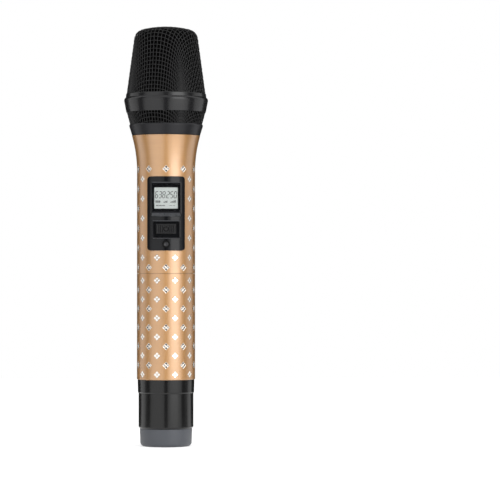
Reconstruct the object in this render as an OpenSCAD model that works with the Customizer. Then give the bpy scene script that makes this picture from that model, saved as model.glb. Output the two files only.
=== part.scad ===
// Cordless handheld karaoke microphone, in millimetres.
// The origin is the centre of the end cap's flat foot. +Z runs up the grip to the grille,
// and the display panel faces -Y.
// The lower handle is a metal sleeve with a plastic tail. The transmitter, with its battery tray,
// lifts up out of that handle, and the grille lifts up off the transmitter's neck.

/* [Handle] */
// Outside diameter of the metal grip
grip_d = 36; // [35.6:0.2:37]
// Wall thickness of the metal tubes
wall = 1.2; // [1:0.1:1.3]
// Height of the end cap that the microphone stands on
cap_h = 11; // [9:0.5:13]
// Height of the plastic tail between the cap and the metal sleeve
tail_h = 30.4; // [29:0.2:33]
// Height of the lower metal sleeve
sleeve_h = 65.6; // [64:0.2:68]
// Height of the upper metal barrel, flare included
barrel_h = 85.2; // [84:0.2:88]
// Height of the flare at the top of the barrel
flare_h = 22.2; // [20:0.2:23]
// Outside diameter of the flare at its top
flare_d = 42.2; // [41.6:0.2:42.6]

/* [Head] */
// Height of the ring that screws onto the neck
ring_h = 7.1; // [6.6:0.1:7.6]
// Outside diameter of that ring at its top
ring_d = 45.8; // [45.4:0.1:46.2]
// Height of the lower wire mesh
lower_mesh_h = 7.5; // [7:0.1:9]
// Height of the band round the widest part of the head
band_h = 11.5; // [11:0.1:13]
// Outside diameter of the band
band_d = 52; // [51.6:0.1:53]
// Height of the upper mesh basket
basket_h = 41.7; // [40:0.1:44]
// Diameter of the basket where it meets the band
basket_d = 49; // [48.8:0.1:49.2]
// Taper of the basket's side, as radius lost per millimetre of height
basket_taper = 0.135; // [0.12:0.005:0.15]
// Thickness of the wire mesh
mesh_t = 0.9; // [0.8:0.05:1]

/* [Display panel] */
// Width of the panel across the grip
panel_w = 23.2; // [22.8:0.1:23.6]
// Height of the panel along the grip
panel_h = 45.6; // [45:0.1:46.2]
// Height of the panel's lower edge above the seam
panel_lift = 14; // [13.6:0.1:14.4]
// Width of the display window
lcd_w = 14.8; // [14:0.1:15.2]
// Height of the display window
lcd_h = 13.4; // [12.8:0.1:13.8]

/* [Controls] */
// Travel of the slide switch
slide_travel = 2; // [1.6:0.1:2]
// Width of the slide switch's thumb pad
pad_w = 11.7; // [10:0.1:12.4]
// Height of the slide switch's thumb pad
pad_h = 5.8; // [5:0.1:6]
// Travel of the round button
button_travel = 0.4; // [0.2:0.05:0.4]
// Diameter of the round button
button_d = 3.1; // [2.8:0.1:3.4]

/* [Capsule] */
// Outside diameter of the capsule
capsule_d = 26; // [25.6:0.1:26.4]
// Height of the capsule's housing
capsule_h = 29.2; // [28.6:0.1:30]

/* [Hidden] */
$fn = 72;
eps = 0.01;

// Clearances: a glued or pressed seat, a fit that slides or unscrews, and free space
seat = 0.05;
fit = 0.1;
free = 0.2;

// Heights of the main joints above the foot
tail_top = cap_h + tail_h;
seam_z = tail_top + sleeve_h;
neck_z = seam_z + barrel_h;
flare_z = neck_z - flare_h;
ring_top = neck_z + ring_h;
band_z = ring_top + lower_mesh_h;
band_top = band_z + band_h;
top_z = band_top + basket_h;

// Radii of the metal tubes, and the arc of the flare
grip_r = grip_d / 2;
bore_r = grip_r - wall;
flare_rise = flare_d / 2 - grip_r;
flare_r = (flare_h * flare_h + flare_rise * flare_rise) / (2 * flare_rise);
edge = 0.3;
seam_gap = 0.12;

// Cap and tail
foot_r = 13.5;
cap_round = 2.5;
cap_r = 16.2;
cap_wall = 2.5;
plug_r = 14.9;
plug_h = 6.5;
tail_r = 17;
tail_step_r = 17.5;
tail_step_h = 8.4;
tail_chamfer = 1;
tail_spigot_h = 11;
tail_bore_r = 15.6;

// Collar across the seam, which carries the sleeve's screw thread
collar_below = 10;
collar_above = 10;
collar_bore_r = 15.35;
collar_ledge_r = 8;
collar_rim_r = 13.4;
collar_ledge_t = 2.6;
collar_top = seam_z + collar_above;

// Battery bay, for two AA cells side by side
cell_r = 7.25;
cell_len = 50.5;
cell_nub_r = 2.7;
cell_nub_h = 1;
cell_x = 7.3;
contact_t = 0.4;
spring_h = 5;
tray_r = 15.2;
tray_plate_t = 3;
tray_top = seam_z - 0.7;
bay_top = tray_top - tray_plate_t;
bay_bottom = bay_top - cell_len - spring_h - 2 * contact_t;
tray_bottom = bay_bottom - tray_plate_t;
tray_wall = 1.3;

// Battery springs: a cone of round wire
spring_wire = 0.6;
spring_base_r = 4.4;
spring_tip_r = 2.4;
spring_curls = 3;
spring_rings = 8;
contact_w = 9.4;

// Antenna: a helix of round wire below the tray
antenna_wire = 0.8;
antenna_r = 3.2;
antenna_pitch = 2.6;
antenna_curls = 9;
antenna_rings = 12;
antenna_boss_r = 2.3;
antenna_boss_h = 12;

// Wires from the tray to the circuit board
battery_lead_r = 0.5;

// Display panel: a curved base, with two blocks whose fronts are flat
panel_z = seam_z + panel_lift;
panel_mid = panel_z + panel_h / 2;
panel_corner = 2;
panel_lap = 0.6;
panel_t = 0.6;
panel_r = grip_r + panel_t;
panel_back_r = bore_r - 1;
block_y = -grip_r - 1.3;
block_back_y = block_y + 3.7;
display_block_w = 19.1;
display_block_z = panel_z + 21;
display_block_top = panel_z + 42.2;
display_slope = [1.2, 2.2];
block_chamfer = 0.6;
lcd_z = panel_z + 32.4;
lens_border = [1.3, 1.7];
lens_t = 1.05;
lens_corner = 0.8;
lcd_rim_t = 0.6;
lcd_border = 1;
lcd_t = 1.8;
lcd_y = block_y + lens_t + lcd_rim_t;
strip_h = 1.7;

// Circuit board, behind the panel
board_y = -grip_r + 6;
board_t = 1.2;
board_w = 20;
board_z = panel_z - 2.5;
board_top = panel_z + panel_h + 7.9;
board_back = board_y + board_t;
frame_r = bore_r - 0.3;
frame_wall = 1.6;
frame_top = flare_z + 8.4;
frame_web_y = board_back + 3.8;
frame_web_t = 1.5;
frame_foot_t = 1.6;
frame_foot_w = 3.4;
frame_boss_r = 2.1;
shield = [16, 24, 2.6];
shield_z = board_z + 22;
shield_wall = 0.3;
chip = [7, 7, 1.2];
chip_z = board_z + 30;
socket = [5.2, 4, 2.6];
socket_top = board_top - 5;

// Slide switch and round button
switch_block_w = 18;
switch_z = panel_z + 7.2;
switch_top = panel_z + 18.5;
pocket = [16.4, 9.6];
pocket_z = panel_z + 12.8;
pocket_floor_y = block_y + 1.9;
pad_z = panel_z + 13.3;
pad_front_y = block_y - 0.4;
pad_t = 1.7;
flange_t = 0.5;
stem = 2.8;
lever = 1.4;
switch_h = 8.8;
switch_w = 4.6;
switch_t = 2.6;
button_z = panel_z + 3.9;
button_dish_r = 2.25;
button_dish_y = -panel_r + 0.5;
button_front_y = -panel_r + 0.15;
button_flange_r = 2.3;
button_flange_y = -panel_back_r + 0.3;
button_flange_t = 0.6;
tact_w = 4.5;
tact_t = 1.9;
plunger_r = 1;
plunger_front_y = button_flange_y + button_flange_t + seat;

// Neck collar and capsule
neck_r = 18.6;
neck_floor_t = 3.5;
neck_floor_r = 11.8;
neck_bore_r = 15;
neck_bottom = frame_top + 0.1;
neck_top = neck_z + 6.3;
capsule_r = capsule_d / 2;
capsule_wall = 1.2;
capsule_z = neck_top - 7.5;
capsule_top = capsule_z + capsule_h;
capsule_bore_r = capsule_r - capsule_wall;
mount_flange_r = 17.6;
mount_flange_t = 2;
ledge_z = capsule_z + 15;
ledge_t = 1.5;
yoke_z = ledge_z + ledge_t;
yoke_h = 8.5;
yoke_floor_t = 2;
yoke_bore_r = 9;
magnet_r = 7.6;
magnet_h = 4;
pole_r = 8;
membrane_z = yoke_z + yoke_h + 1.6;
membrane_t = 0.25;
dome_r = 8.3;
dome_rise = 1.7;
coil_t = 0.45;
coil_h = 5;
grid_t = 1.4;
grid_hole_r = 1.25;
terminal_r = 5;
terminal_t = 1.6;
terminal_hole_r = 1;
lug_hole_r = 3.4;
mount_lip = 1.5;
rim_w = 0.8;

// Wires from the circuit board to the capsule
signal_lead_r = 0.45;
signal_lead_x = 2.5;

// Head: outlines that the mesh, band and foam share
hem_h = 2.3;
basket_hem_h = 4.3;
basket_r = basket_d / 2;
lower_mesh_r = ring_d / 2 - 0.5;
lower_slope = (basket_r - 0.1 - lower_mesh_r) / lower_mesh_h;
shoulder_r = 6.4;
shoulder_z = top_z - 7.2;
foam_t = 2.5;
foam_gap = 0.15;
taper_angle = atan(basket_taper);
dome_angle = 14;

// Small screws
screw_r = 0.8;
screw_head_r = 1.6;
screw_head_h = 1.1;
screw_slot = 0.4;
board_screw_x = 6.5;
board_screw_z = [board_z + 3, board_top - 3];
frame_screw_r = 13.2;
frame_screw_angles = [35, 145];
collar_screw_r = 15;
tray_screw_y = 11.6;

// Points on an arc of a circle, from one angle to another
function arc(centre, r, from, to, steps) =
  [for (i = [0:steps]) let (a = from + (to - from) * i / steps) centre + r * [cos(a), sin(a)]];

function backwards(points) = [for (i = [len(points) - 1:-1:0]) points[i]];

// Outline of the barrel's flare between two heights, drawn in by a distance.
// It is an arc of a circle whose centre is level with the flare's foot.
function flare_line(inset, z0, z1, steps) =
  [for (i = [0:steps])
    let (z = z0 + (z1 - z0) * i / steps)
    [grip_r + flare_r - sqrt(pow(flare_r + inset, 2) - pow(z - flare_z, 2)), z]];

// Outline of the basket from the band to its crown, drawn in by a distance.
// The side is a cone, the shoulder an arc, and the crown a shallow dome.
function basket_line(inset) =
  let (
    side_r = basket_r - basket_taper * (shoulder_z - band_top),
    centre = [side_r, shoulder_z] - shoulder_r * [cos(taper_angle), sin(taper_angle)],
    join = centre + shoulder_r * [sin(dome_angle), cos(dome_angle)],
    crown_r = join[0] / sin(dome_angle),
    crown = [0, join[1] - crown_r * cos(dome_angle)]
  )
  concat(
    [[basket_r, band_top] - inset * [cos(taper_angle), sin(taper_angle)]],
    arc(centre, shoulder_r - inset, taper_angle, 90 - dome_angle, 6),
    [for (p = arc(crown, crown_r - inset, 90 - dome_angle, 90, 4)) if (p[0] < join[0] - eps) p]
  );

// Outline of the lower mesh's cone at height z
function lower_mesh_at(z) = lower_mesh_r + lower_slope * (z - ring_top);

// Smooth run of points through a route, with a few steps to each leg
function route(points, steps) =
  let (last = len(points) - 1)
  concat(
    [for (i = [0:last - 1], s = [0:steps - 1])
      let (
        t = s / steps,
        a = points[max(0, i - 1)], b = points[i], c = points[i + 1], d = points[min(last, i + 2)]
      )
      0.5 * (2 * b + (c - a) * t + (2 * a - 5 * b + 4 * c - d) * t * t
        + (3 * b - a - 3 * c + d) * t * t * t)],
    [points[last]]
  );

// Coil of wire about the Z axis. Its radius runs from r0 to r1 and its height from z0 to z1,
// and each end runs straight along Z for one wire diameter.
function coil(r0, r1, z0, z1, curls, rings, wire) =
  let (count = curls * rings, way = sign(z1 - z0))
  concat(
    [[r0, 0, z0]],
    [for (i = [0:count])
      let (t = i / count, a = 360 * curls * t, r = r0 + (r1 - r0) * t)
      [r * cos(a), r * sin(a), z0 + way * wire + (z1 - z0 - 2 * way * wire) * t]],
    [[r1 * cos(360 * curls), r1 * sin(360 * curls), z1]]
  );

// Least clear distance between the turns of a coil
function least_gap(points, rings, wire) =
  min([for (i = [0:len(points) - 1], j = [i + ceil(rings / 2):1:len(points) - 1])
    norm(points[i] - points[j])]) - wire;

function unit(v) = v / norm(v);

// Direction of travel at one point of a path
function heading(path, i) = unit(path[min(len(path) - 1, i + 1)] - path[max(0, i - 1)]);

// Ring of points square to a path, whose first point leans to a given side
function ring_of(point, along, side, r, sides) =
  let (n = unit(side - (side * along) * along), b = cross(along, n))
  [for (k = [0:sides - 1]) point + r * (cos(360 * k / sides) * n + sin(360 * k / sides) * b)];

// Round tube along a path. A coil leans its rings outwards from Z, a lead leans them along X.
module swept(path, r, sides, coiled) {
  count = len(path);
  points = [for (i = [0:count - 1])
    let (side = coiled ? [path[i][0], path[i][1], 0] : [1, 0, 0])
    each ring_of(path[i], heading(path, i), side, r, sides)];
  skin = [for (i = [0:count - 2], k = [0:sides - 1])
    let (a = i * sides + k, b = i * sides + (k + 1) % sides)
    each [[a, a + sides, b], [b, a + sides, b + sides]]];
  caps = [for (k = [1:sides - 2])
    each [[0, k, k + 1], [(count - 1) * sides, (count - 1) * sides + k + 1, (count - 1) * sides + k]]];
  polyhedron(points, concat(skin, caps), convexity = 10);
}

module revolve(points) rotate_extrude() polygon(points);

module tube(r_out, r_in, z0, z1) {
  revolve([[r_in, z0], [r_out, z0], [r_out, z1], [r_in, z1]]);
}

module block(x, y, z) {
  translate([x[0], y[0], z[0]]) cube([x[1] - x[0], y[1] - y[0], z[1] - z[0]]);
}

// Cylinder along Y
module rod_y(r, x, z, y0, y1) {
  translate([x, y0, z]) rotate([-90, 0, 0]) cylinder(r = r, h = y1 - y0);
}

module rounded_rect(w, h, r) {
  square([w - 2 * r, h], center = true);
  square([w, h - 2 * r], center = true);
  for (x = [-1, 1], y = [-1, 1]) translate([x * (w / 2 - r), y * (h / 2 - r)]) circle(r);
}

// Plate with round corners, facing -Y
module plate_y(w, h, r, z, y0, y1) {
  translate([0, y0, z]) rotate([-90, 0, 0]) linear_extrude(y1 - y0) rounded_rect(w, h, r);
}

// Screw along +Z with its head's underside at the origin
module screw(len) {
  difference() {
    union() {
      cylinder(r = screw_head_r, h = screw_head_h);
      translate([0, 0, -len]) cylinder(r = screw_r, h = len + eps);
    }
    for (a = [0, 90]) rotate(a)
      translate([0, 0, screw_head_h]) cube([1.8, screw_slot, 2 * screw_slot], center = true);
  }
}

// Lower handle

module lower_sleeve() {
  color("#c79a63") revolve([
    [bore_r, tail_top], [grip_r - edge, tail_top], [grip_r, tail_top + edge],
    [grip_r, seam_z - seam_gap - edge], [grip_r - edge, seam_z - seam_gap], [bore_r, seam_z - seam_gap]
  ]);
}

module tail_housing() {
  step_z = tail_top - tail_step_h;
  spigot_top = tail_top + tail_spigot_h;
  color("#2b2b2b") revolve([
    [plug_r + seat, cap_h + seat], [cap_r, cap_h + seat], [tail_r, cap_h + tail_chamfer],
    [tail_r, step_z], [tail_step_r - 0.1, step_z + 0.5], [tail_step_r + 0.1, tail_top - seat],
    [bore_r - seat, tail_top - seat], [bore_r - seat, spigot_top - 0.5], [bore_r - 0.5, spigot_top],
    [tail_bore_r, spigot_top], [tail_bore_r, cap_h + plug_h + 1], [plug_r + seat, cap_h + plug_h + 0.5]
  ]);
}

module end_cap() {
  corner = [cap_r - 0.25 - cap_round, cap_round];
  color("#62666d") revolve(concat(
    [[0, 0], [foot_r, 0]],
    arc(corner, cap_round, -80, 0, 6),
    [
      [cap_r, cap_h], [plug_r, cap_h], [plug_r, cap_h + plug_h], [plug_r - 1.4, cap_h + plug_h],
      [plug_r - 1.4, cap_wall], [0, cap_wall]
    ]
  ));
}

// Upper barrel and what it carries

module upper_barrel() {
  color("#c79a63") difference() {
    revolve(concat(
      [[bore_r, seam_z], [grip_r - edge, seam_z], [grip_r, seam_z + edge]],
      flare_line(0, flare_z, neck_z, 12),
      backwards(flare_line(wall, flare_z, neck_z, 12))
    ));
    plate_y(panel_w - 2 * panel_lap, panel_h - 2 * panel_lap, panel_corner - panel_lap, panel_mid,
      -grip_r - 5, 0);
  }
}

module joint_collar() {
  color("#1f1f20") difference() {
    revolve([
      [collar_bore_r, seam_z - collar_below], [bore_r - fit, seam_z - collar_below],
      [bore_r - fit, seam_z], [bore_r - seat, seam_z + 0.2], [bore_r - seat, collar_top],
      [collar_rim_r, collar_top], [collar_rim_r, tray_top + fit + collar_ledge_t],
      [collar_ledge_r, tray_top + fit + collar_ledge_t], [collar_ledge_r, tray_top + fit],
      [collar_bore_r, tray_top + fit]
    ]);
    for (s = [-1, 1]) translate([0, s * tray_screw_y, tray_top]) cylinder(r = screw_r + fit, h = 5);
    for (a = frame_screw_angles) rotate(a)
      translate([collar_screw_r, 0, collar_top - 6]) cylinder(r = screw_r + 0.02, h = 7);
  }
}

// Plastic spine behind the circuit board
module inner_frame() {
  bottom = collar_top + seat;
  color("#2a2b2d") difference() {
    union() {
      intersection() {
        union() {
          tube(frame_r, frame_r - frame_wall, bottom, frame_top);
          tube(frame_r, frame_r - frame_foot_w, bottom, bottom + frame_foot_t);
          block([-frame_r, frame_r], [frame_web_y, frame_web_y + frame_web_t], [board_z + 5, frame_top]);
          for (a = frame_screw_angles) rotate(a)
            translate([frame_screw_r, 0, frame_top - 9]) cylinder(r = frame_boss_r, h = 9);
        }
        translate([0, 0, bottom]) cylinder(r = frame_r, h = frame_top - bottom);
        block([-grip_r, grip_r], [board_back + seat, grip_r], [bottom - 1, frame_top + 1]);
      }
      for (x = [-1, 1], z = board_screw_z)
        rod_y(frame_boss_r, x * board_screw_x, z, board_back + seat, frame_web_y + 0.5);
      for (x = [-1, 1])
        translate([x * board_screw_x, 0, 0])
          block(frame_boss_r * [-1, 1], [frame_web_y, frame_web_y + frame_web_t], [bottom + 2, board_z + 6]);
    }
    for (x = [-1, 1], z = board_screw_z)
      rod_y(screw_r + 0.02, x * board_screw_x, z, board_back - 1, frame_web_y + frame_web_t + 1);
    for (a = frame_screw_angles) rotate(a) {
      translate([frame_screw_r, 0, frame_top - 8]) cylinder(r = screw_r + 0.02, h = 9);
      translate([collar_screw_r, 0, bottom - 1]) cylinder(r = screw_r + fit, h = 4);
      translate([collar_screw_r, 0, bottom + frame_foot_t]) cylinder(r = screw_head_r + free, h = 3);
    }
  }
}

// Battery tray, open to the front, with the antenna's boss under it
module battery_tray() {
  color("#232425") difference() {
    union() {
      translate([0, 0, tray_bottom]) cylinder(r = tray_r - 0.2, h = tray_plate_t);
      translate([0, 0, bay_top]) cylinder(r = tray_r - 0.2, h = tray_plate_t);
      intersection() {
        translate([0, 0, tray_bottom + 1]) cylinder(r = tray_r, h = tray_top - tray_bottom - 2);
        block([-tray_r, tray_r], [-1, cell_r + tray_wall], [tray_bottom + 1, tray_top - 1]);
        union() {
          for (x = [-1, 1]) translate([x * cell_x, 0, tray_bottom])
            cylinder(r = cell_r + tray_wall, h = tray_top - tray_bottom);
          block([-cell_x, cell_x], [3, cell_r + tray_wall], [tray_bottom, tray_top]);
        }
      }
      translate([0, 0, tray_bottom - antenna_boss_h]) cylinder(r = antenna_boss_r, h = antenna_boss_h + 1);
    }
    for (x = [-1, 1]) translate([x * cell_x, 0, bay_bottom])
      cylinder(r = cell_r + 0.12, h = bay_top - bay_bottom);
    block([-cell_x, cell_x], (contact_w / 2 + fit) * [-1, 1], [bay_bottom, bay_bottom + contact_t + fit]);
    for (s = [-1, 1]) translate([0, s * tray_screw_y, bay_top - 1]) cylinder(r = screw_r + 0.02, h = 6);
  }
}

// AA cell standing on its flat end at the origin
module cell() {
  body_h = cell_len - cell_nub_h;
  color("#3f6b4a") revolve([
    [0, 0], [cell_r - 0.6, 0], [cell_r, 0.6], [cell_r, body_h - 0.6], [cell_r - 0.6, body_h],
    [cell_nub_r, body_h], [cell_nub_r, cell_len], [0, cell_len]
  ]);
}

module battery_left() {
  translate([-cell_x, 0, bay_bottom + contact_t + spring_h]) cell();
}

module battery_right() {
  translate([cell_x, 0, bay_bottom + contact_t + cell_len]) rotate([180, 0, 0]) cell();
}

// The spring's wide turn stands on its contact and its narrow turn meets the cell
function spring_path(z0, z1) =
  coil(spring_base_r, spring_tip_r, z0, z1, spring_curls, spring_rings, spring_wire);

module battery_spring_lower() {
  path = spring_path(bay_bottom + contact_t, bay_bottom + contact_t + spring_h);
  echo(battery_spring_gap = least_gap(path, spring_rings, spring_wire));
  color("#c9c9c9") translate([-cell_x, 0, 0]) swept(path, spring_wire / 2, 6, true);
}

module battery_spring_upper() {
  path = spring_path(0, spring_h);
  color("#c9c9c9") translate([cell_x, 0, bay_top - contact_t]) rotate([180, 0, 0])
    swept(path, spring_wire / 2, 6, true);
}

module contact_bridge() {
  reach = cell_x + contact_w / 2;
  color("#c9c9c9")
    block([-reach, reach], contact_w / 2 * [-1, 1], [bay_bottom, bay_bottom + contact_t]);
}

module contact_plates() {
  color("#c9c9c9") for (x = [-1, 1])
    translate([x * cell_x, 0, 0])
      block(contact_w / 2 * [-1, 1], contact_w / 2 * [-1, 1], [bay_top - contact_t, bay_top]);
}

module battery_leads() {
  color("#a03028") for (x = [-1, 1])
    swept(route([
      [x * 4, -4, tray_top], [x * 4, -4, tray_top + 1], [x * 4, -4, tray_top + 2],
      [x * 4, -4.4, tray_top + 5], [x * 4, -7, board_z - 2], [x * 4, -8, board_z + 1],
      [x * 4, -8.8, board_z + 2], [x * 4, board_back + 1, board_z + 2], [x * 4, board_back, board_z + 2]
    ], 3), battery_lead_r, 8, false);
}

module antenna_coil() {
  path = coil(antenna_r, antenna_r, tray_bottom, tray_bottom - antenna_curls * antenna_pitch,
    antenna_curls, antenna_rings, antenna_wire);
  echo(antenna_gap = least_gap(path, antenna_rings, antenna_wire));
  color("#b87333") swept(path, antenna_wire / 2, 6, true);
}

// Circuit board and what is soldered to it

module main_board() {
  color("#1f5a3a") difference() {
    block([-board_w / 2, board_w / 2], [board_y, board_back], [board_z, board_top]);
    for (x = [-1, 1], z = board_screw_z)
      rod_y(screw_r + fit, x * board_screw_x, z, board_y - 1, board_back + 1);
  }
}

// Box of a given width, height and depth on the back of the board
module on_board_back(size, z, wall) {
  block((size[0] / 2 - wall) * [-1, 1], [board_back - wall, board_back + size[2] - wall],
    [z + wall, z + size[1] - wall]);
}

module rf_shield() {
  color("#b9bcc0") difference() {
    on_board_back(shield, shield_z, 0);
    on_board_back(shield, shield_z, shield_wall);
  }
}

module rf_chip() {
  color("#151515") on_board_back(chip, chip_z, 0);
}

module lead_socket() {
  color("#e4e0d4")
    block(socket[0] / 2 * [-1, 1], [board_y - socket[2], board_y], [socket_top - socket[1], socket_top]);
}

module capsule_leads() {
  y = board_y - socket[2] / 2;
  z = socket_top;
  end_x = signal_lead_x;
  end_z = capsule_z - terminal_t;
  color("#b8b4ab") for (x = [-1, 1])
    swept(route([
      [x, y, z], [x, y, z + 1], [x, y, z + 2], [x, y + 0.2, z + 4.6], [1.3 * x, y + 2.8, z + 8],
      [2 * x, -6.4, z + 12], [x * end_x, -1.4, end_z - 4.5], [x * end_x, 0, end_z - 2],
      [x * end_x, 0, end_z - 1], [x * end_x, 0, end_z]
    ], 3), signal_lead_r, 8, false);
}

// Display panel

// Block on the panel with a flat front, chamfered sides, and a slope under its front
module panel_block(w, z0, z1, slope) {
  c = block_chamfer;
  intersection() {
    translate([-w / 2, 0, 0]) rotate([90, 0, 90]) linear_extrude(w) polygon([
      [block_back_y, z0], [block_y + slope[0], z0], [block_y, z0 + slope[1]],
      [block_y, z1 - c], [block_y + c, z1], [block_back_y, z1]
    ]);
    translate([0, 0, z0]) linear_extrude(z1 - z0) polygon([
      [-w / 2, block_back_y], [-w / 2, block_y + c], [-w / 2 + c, block_y],
      [w / 2 - c, block_y], [w / 2, block_y + c], [w / 2, block_back_y]
    ]);
  }
}

module display_bezel() {
  lens_w = lcd_w + 2 * lens_border[0];
  lens_h = lcd_h + 2 * lens_border[1];
  rim_y = block_y + lens_t;
  color("#17181a") difference() {
    union() {
      intersection() {
        tube(panel_r, grip_r + seat, panel_z, panel_z + panel_h);
        plate_y(panel_w, panel_h, panel_corner, panel_mid, -panel_r - 1, -2);
      }
      intersection() {
        tube(grip_r + seat + eps, panel_back_r, panel_z, panel_z + panel_h);
        plate_y(panel_w - 2 * panel_lap - 2 * fit, panel_h - 2 * panel_lap - 2 * fit,
          panel_corner - panel_lap - fit, panel_mid, -panel_r - 1, -2);
      }
      panel_block(display_block_w, display_block_z, display_block_top, display_slope);
      panel_block(switch_block_w, switch_z, switch_top, [block_chamfer, block_chamfer]);
    }
    // Seat for the lens, the window, and room for the display behind it
    plate_y(lens_w, lens_h, lens_corner, lcd_z, block_y - 1, rim_y);
    plate_y(lcd_w, lcd_h, 0.3, lcd_z, block_y - 1, board_y);
    block([-lcd_w / 2 - lcd_border - fit, lcd_w / 2 + lcd_border + fit], [rim_y + lcd_rim_t, board_y],
      [lcd_z - lcd_h / 2 - lcd_border - fit, lcd_z + lcd_h / 2 + lcd_border + fit]);
    // Pocket and slot of the slide switch, with room for the switch behind
    plate_y(pocket[0], pocket[1], 0.8, pocket_z, block_y - 1, pocket_floor_y);
    block([-stem / 2 - free, stem / 2 + free], [block_y - 1, board_y],
      [pad_z - slide_travel - stem / 2 - free, pad_z + stem / 2 + free]);
    // Dish and hole of the round button
    rod_y(button_dish_r, 0, button_z, -panel_r - 1, button_dish_y);
    rod_y(button_d / 2 + fit, 0, button_z, -panel_r - 1, board_y);
  }
}

module display_lens() {
  color([0.75, 0.8, 0.82, 0.4])
    plate_y(lcd_w + 2 * lens_border[0] - 2 * seat, lcd_h + 2 * lens_border[1] - 2 * seat,
      lens_corner - seat, lcd_z, block_y + seat, block_y + lens_t);
}

module lcd_glass() {
  color("#b9c4c0") block(
    [-lcd_w / 2 - lcd_border, lcd_w / 2 + lcd_border], [lcd_y, lcd_y + lcd_t],
    [lcd_z - lcd_h / 2 - lcd_border, lcd_z + lcd_h / 2 + lcd_border]);
}

module backlight() {
  color("#e8eeee") block(
    [-lcd_w / 2 - lcd_border + free, lcd_w / 2 + lcd_border - free], [lcd_y + lcd_t, board_y],
    [lcd_z - lcd_h / 2 - lcd_border + strip_h + free, lcd_z + lcd_h / 2 + lcd_border]);
}

module contact_strip() {
  bottom = lcd_z - lcd_h / 2 - lcd_border;
  color("#d98f9a") block([-lcd_w / 2, lcd_w / 2], [lcd_y + lcd_t, board_y], [bottom, bottom + strip_h]);
}

// Slide switch: its body, the lever in it, and the knob on the lever

module slide_switch() {
  front_y = board_y - switch_t;
  mid = pad_z - slide_travel / 2;
  color("#9b9ea2") difference() {
    block([-switch_w / 2, switch_w / 2], [front_y, board_y], [mid - switch_h / 2, mid + switch_h / 2]);
    block([-lever / 2 - free, lever / 2 + free], [front_y - 1, board_y - 0.8],
      [pad_z - slide_travel - lever / 2 - free, pad_z + lever / 2 + free]);
  }
}

module slide_lever() {
  color("#202020") block([-lever / 2, lever / 2], [pocket_floor_y + 0.8, board_y - 1],
    [pad_z - lever / 2, pad_z + lever / 2]);
}

module slide_knob() {
  stem_back_y = board_y - switch_t - 0.4;
  color("#2c2c2d") difference() {
    union() {
      plate_y(pad_w, pad_h, 0.5, pad_z, pad_front_y, pad_front_y + pad_t);
      plate_y(pad_w + 0.8, pad_h + 0.4, 0.5, pad_z, pad_front_y + pad_t - eps, pocket_floor_y - fit);
      block([-stem / 2, stem / 2], [pocket_floor_y - flange_t, stem_back_y],
        [pad_z - stem / 2, pad_z + stem / 2]);
    }
    block([-lever / 2 - seat, lever / 2 + seat], [pocket_floor_y + 0.7, stem_back_y + 1],
      [pad_z - lever / 2 - seat, pad_z + lever / 2 + seat]);
  }
}

// Round button: a push switch on the board, its plunger, and the button over it

module button_switch() {
  color("#1c1c1e") difference() {
    block([-tact_w / 2, tact_w / 2], [board_y - tact_t, board_y],
      [button_z - tact_w / 2, button_z + tact_w / 2]);
    rod_y(plunger_r + fit, 0, button_z, board_y - tact_t - 1, board_y - 0.3);
  }
}

module button_plunger() {
  color("#d8d4c8") rod_y(plunger_r, 0, button_z, plunger_front_y, board_y - 0.4 - button_travel);
}

module power_button() {
  color("#26262a") {
    rod_y(button_d / 2, 0, button_z, button_front_y, button_flange_y + eps);
    rod_y(button_flange_r, 0, button_z, button_flange_y, button_flange_y + button_flange_t);
  }
}

// Neck and capsule

module neck_collar() {
  color("#1d1d1f") difference() {
    revolve(concat(
      [[neck_floor_r, neck_bottom]],
      flare_line(wall + seat, neck_bottom, neck_z, 8),
      [
        [neck_r, neck_z], [neck_r, neck_top], [neck_bore_r, neck_top],
        [neck_bore_r, neck_bottom + neck_floor_t], [neck_floor_r, neck_bottom + neck_floor_t]
      ]
    ));
    for (a = frame_screw_angles) rotate(a)
      translate([frame_screw_r, 0, neck_bottom - 1]) cylinder(r = screw_r + fit, h = neck_floor_t + 2);
  }
}

module shock_mount() {
  color("#101010") revolve([
    [capsule_r - mount_lip, capsule_z - 1], [neck_bore_r - seat, capsule_z - 1],
    [neck_bore_r - seat, neck_top], [mount_flange_r, neck_top], [mount_flange_r, neck_top + mount_flange_t],
    [capsule_r + seat, neck_top + mount_flange_t], [capsule_r + seat, capsule_z - seat],
    [capsule_r - mount_lip, capsule_z - seat]
  ]);
}

module capsule_housing() {
  color("#2f3032") revolve([
    [lug_hole_r, capsule_z], [capsule_r, capsule_z], [capsule_r, capsule_top], [capsule_bore_r, capsule_top],
    [capsule_bore_r, yoke_z], [yoke_bore_r, yoke_z], [yoke_bore_r, ledge_z], [capsule_bore_r, ledge_z],
    [capsule_bore_r, capsule_z + ledge_t], [lug_hole_r, capsule_z + ledge_t]
  ]);
}

module terminal_board() {
  color("#b5793a") tube(terminal_r, terminal_hole_r, capsule_z - terminal_t, capsule_z);
}

module capsule_yoke() {
  top = yoke_z + yoke_h;
  color("#8d9094") revolve([
    [0, yoke_z], [capsule_bore_r - seat, yoke_z], [capsule_bore_r - seat, top], [yoke_bore_r, top],
    [yoke_bore_r, yoke_z + yoke_floor_t], [0, yoke_z + yoke_floor_t]
  ]);
}

module capsule_magnet() {
  color("#5b5d60") translate([0, 0, yoke_z + yoke_floor_t]) cylinder(r = magnet_r, h = magnet_h);
}

module pole_plate() {
  z = yoke_z + yoke_floor_t + magnet_h;
  color("#9b9ea2") translate([0, 0, z]) cylinder(r = pole_r, h = yoke_z + yoke_h - z);
}

module voice_coil() {
  mid_r = (pole_r + yoke_bore_r) / 2;
  color("#b87333") tube(mid_r + coil_t / 2, mid_r - coil_t / 2, membrane_z - coil_h, membrane_z);
}

module diaphragm_ring() {
  color("#c8c4ba") tube(capsule_bore_r - seat, capsule_bore_r - rim_w, yoke_z + yoke_h, membrane_z);
}

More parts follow.
